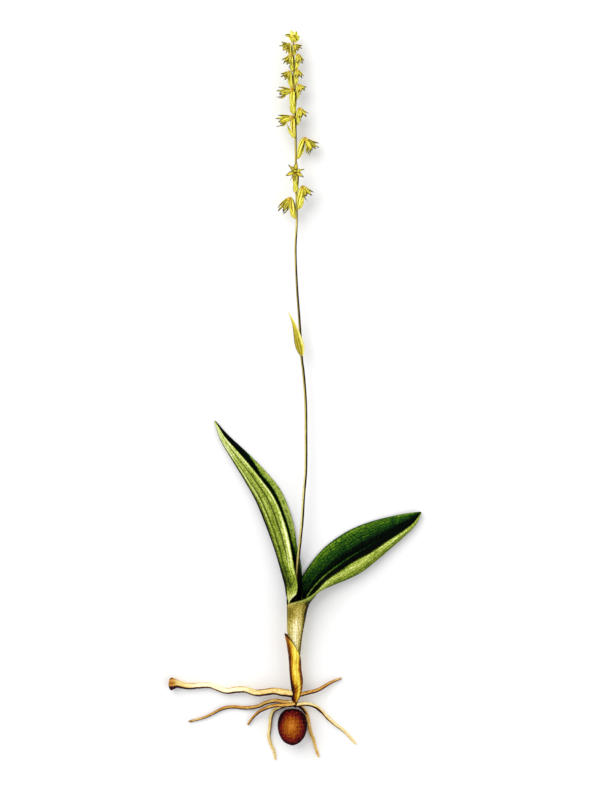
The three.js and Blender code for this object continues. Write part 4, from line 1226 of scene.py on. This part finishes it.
class ORCHID_OT_buds(bpy.types.Operator):
    """Adds the closed buds at the tip of the spike"""
    bl_idname = "orchid.buds"
    bl_label = "Buds"

    def execute(self, context):
        ovary_skin, petal_skin = bloom_skins()
        parts = []
        for i, (center, half_length, half_width, way) in enumerate(BUDS):
            bud, ball = new_ball("bud", 36, 24)
            seam = np.abs(np.cos(1.5 * np.arctan2(ball[:, 0], ball[:, 2]) + 1.1 * i)) ** 0.5
            girth = (0.86 + 0.14 * seam) * (1 - 0.25 * ball[:, 1]) * half_width
            points = ball * np.stack([girth, np.full_like(girth, half_length), girth], axis=1)
            lean = unit(np.array(way, float))
            tilt = np.array(Vector(Y).rotation_difference(Vector(lean)).to_matrix())
            put_places(bud, (points @ tilt.T + center) * MM)
            tip = ball[:, 1]
            # Painted shade: each bud is darker on its right side and in the seams between its sepals.
            tint = 0.86 + 0.15 * (i < PALE_BUDS) - 0.3 * (i == SIDE_BUD) - 0.5 * (1 - seam)
            tint = tint - 0.3 * smooth(tip, 0.5, 1) - 0.2 * ball[:, 0]
            blush = 0.5 * (i in (FRONT_BUD, SIDE_BUD)) * smooth(tip, 0.4, 1)
            groove = 0.9 * smooth(1 - seam, 0.4, 0.8) + 0.7 * smooth(tip, 0.86, 1)
            mark(bud, tint=tint, warm=0.3 * smooth(-tip, 0.3, 1) + blush, groove=np.clip(groove, 0, 0.9))
            dress(bud, ovary_skin)

            foot = center - lean * half_length
            over = center + lean * 0.1 + [0.2 * (-1) ** i, -0.35, half_width]
            line = Arc(foot + [0, -0.5, -0.2], foot + lean * 0.1 + [0, -0.2, 0.5 * half_width], over)
            scale, t, s = make_blade("scale", line, Z, SCALE_WIDTHS, 16, 8, cup=0.8)
            finish_blade(scale, t, s, petal_skin, SCALE_THICKNESS, 0.62 - 0.35 * np.abs(s) ** 3, 0.2,
                         0.7 * smooth(np.abs(s), 0.7, 1.0))
            parts += [bud, scale]
        finish_piece(joined("bud_cluster", parts), "bud_cluster")
        return {"FINISHED"}


# Stage

class ORCHID_OT_stage(bpy.types.Operator):
    """Adds the floor, the soft lights and the camera"""
    bl_idname = "orchid.stage"
    bl_label = "Stage"

    def execute(self, context):
        settings = context.scene.orchid_stage
        pick()
        bpy.ops.mesh.primitive_plane_add(size=FLOOR_SIZE, location=(0, 0, FLOOR_HEIGHT))
        floor = context.active_object
        floor.name = floor.data.name = "floor"
        paper = bpy.data.materials.new("floor_paper")
        paper.use_nodes = True
        tree = paper.node_tree
        shader = tree.nodes["Principled BSDF"]
        grain = speckle(tree, object_places(tree), 900.0, 2.0, 0.5)
        share = reckon(tree, "MULTIPLY", grain, 0.06)
        tone = blend_colors(tree, share, tuple(settings.floor_color), (0.8, 0.8, 0.8, 1))
        tree.links.new(tone, shader.inputs["Base Color"])
        shader.inputs["Roughness"].default_value = 0.9
        shader.inputs["Specular IOR Level"].default_value = 0.1
        dress(floor, paper)

        world = bpy.data.worlds.new("studio")
        world.use_nodes = True
        sky = world.node_tree.nodes["Background"].inputs
        sky["Color"].default_value = (1, 1, 1, 1)
        sky["Strength"].default_value = SKY_STRENGTH
        context.scene.world = world
        for name, place, size, power in LAMPS:
            bpy.ops.object.light_add(type="AREA", location=place)
            lamp = context.active_object
            lamp.name = name
            lamp.data.size = size
            lamp.data.energy = power
            lamp.rotation_euler = (Vector(place) - Vector(LAMP_AIM)).to_track_quat("Z", "Y").to_euler()

        pixel = PIXEL * MM
        middle = ((PICTURE[0] / 2 - CROWN_PIXEL[0]) * pixel, (CROWN_PIXEL[1] - PICTURE[1] / 2) * pixel)
        height = AXIS_HEIGHT * MM + PICTURE[1] * pixel * settings.lens / SENSOR
        bpy.ops.object.camera_add(location=(*middle, height), rotation=(0, 0, 0))
        camera = context.active_object
        camera.data.lens = settings.lens
        camera.data.sensor_width = SENSOR
        camera.data.clip_start = 0.01
        context.scene.camera = camera
        context.scene.view_settings.view_transform = "Standard"
        return {"FINISHED"}


# Panel and registration

OPERATORS = (
    ORCHID_OT_stage, ORCHID_OT_tuber, ORCHID_OT_stolon, ORCHID_OT_roots, ORCHID_OT_stem, ORCHID_OT_stem_bract,
    ORCHID_OT_basal_sheath, ORCHID_OT_leaf_right, ORCHID_OT_leaf_left, ORCHID_OT_blooms, ORCHID_OT_buds,
)
SETTINGS = {
    "orchid_stage": StageSettings, "orchid_tuber": TuberSettings, "orchid_roots": RootSettings,
    "orchid_stem": StemSettings, "orchid_sheath": SheathSettings, "orchid_leaves": LeafSettings,
    "orchid_blooms": BloomSettings,
}


class ORCHID_PT_panel(bpy.types.Panel):
    bl_label = "Musk orchid"
    bl_idname = "ORCHID_PT_panel"
    bl_space_type = "VIEW_3D"
    bl_region_type = "UI"
    bl_category = "Orchid"

    def draw(self, context):
        for operator in OPERATORS:
            self.layout.operator(operator.bl_idname)
        for name, kind in SETTINGS.items():
            box = self.layout.box()
            for key in kind.__annotations__:
                box.prop(getattr(context.scene, name), key)


def register():
    for kind in (*SETTINGS.values(), *OPERATORS, ORCHID_PT_panel):
        bpy.utils.register_class(kind)
    for name, kind in SETTINGS.items():
        setattr(bpy.types.Scene, name, bpy.props.PointerProperty(type=kind))


def unregister():
    for name in SETTINGS:
        delattr(bpy.types.Scene, name)
    for kind in reversed((*SETTINGS.values(), *OPERATORS, ORCHID_PT_panel)):
        bpy.utils.unregister_class(kind)


def main():
    register()
    for operator in OPERATORS:
        group, name = operator.bl_idname.split(".")
        getattr(getattr(bpy.ops, group), name)()


if __name__ == "__main__":
    main()
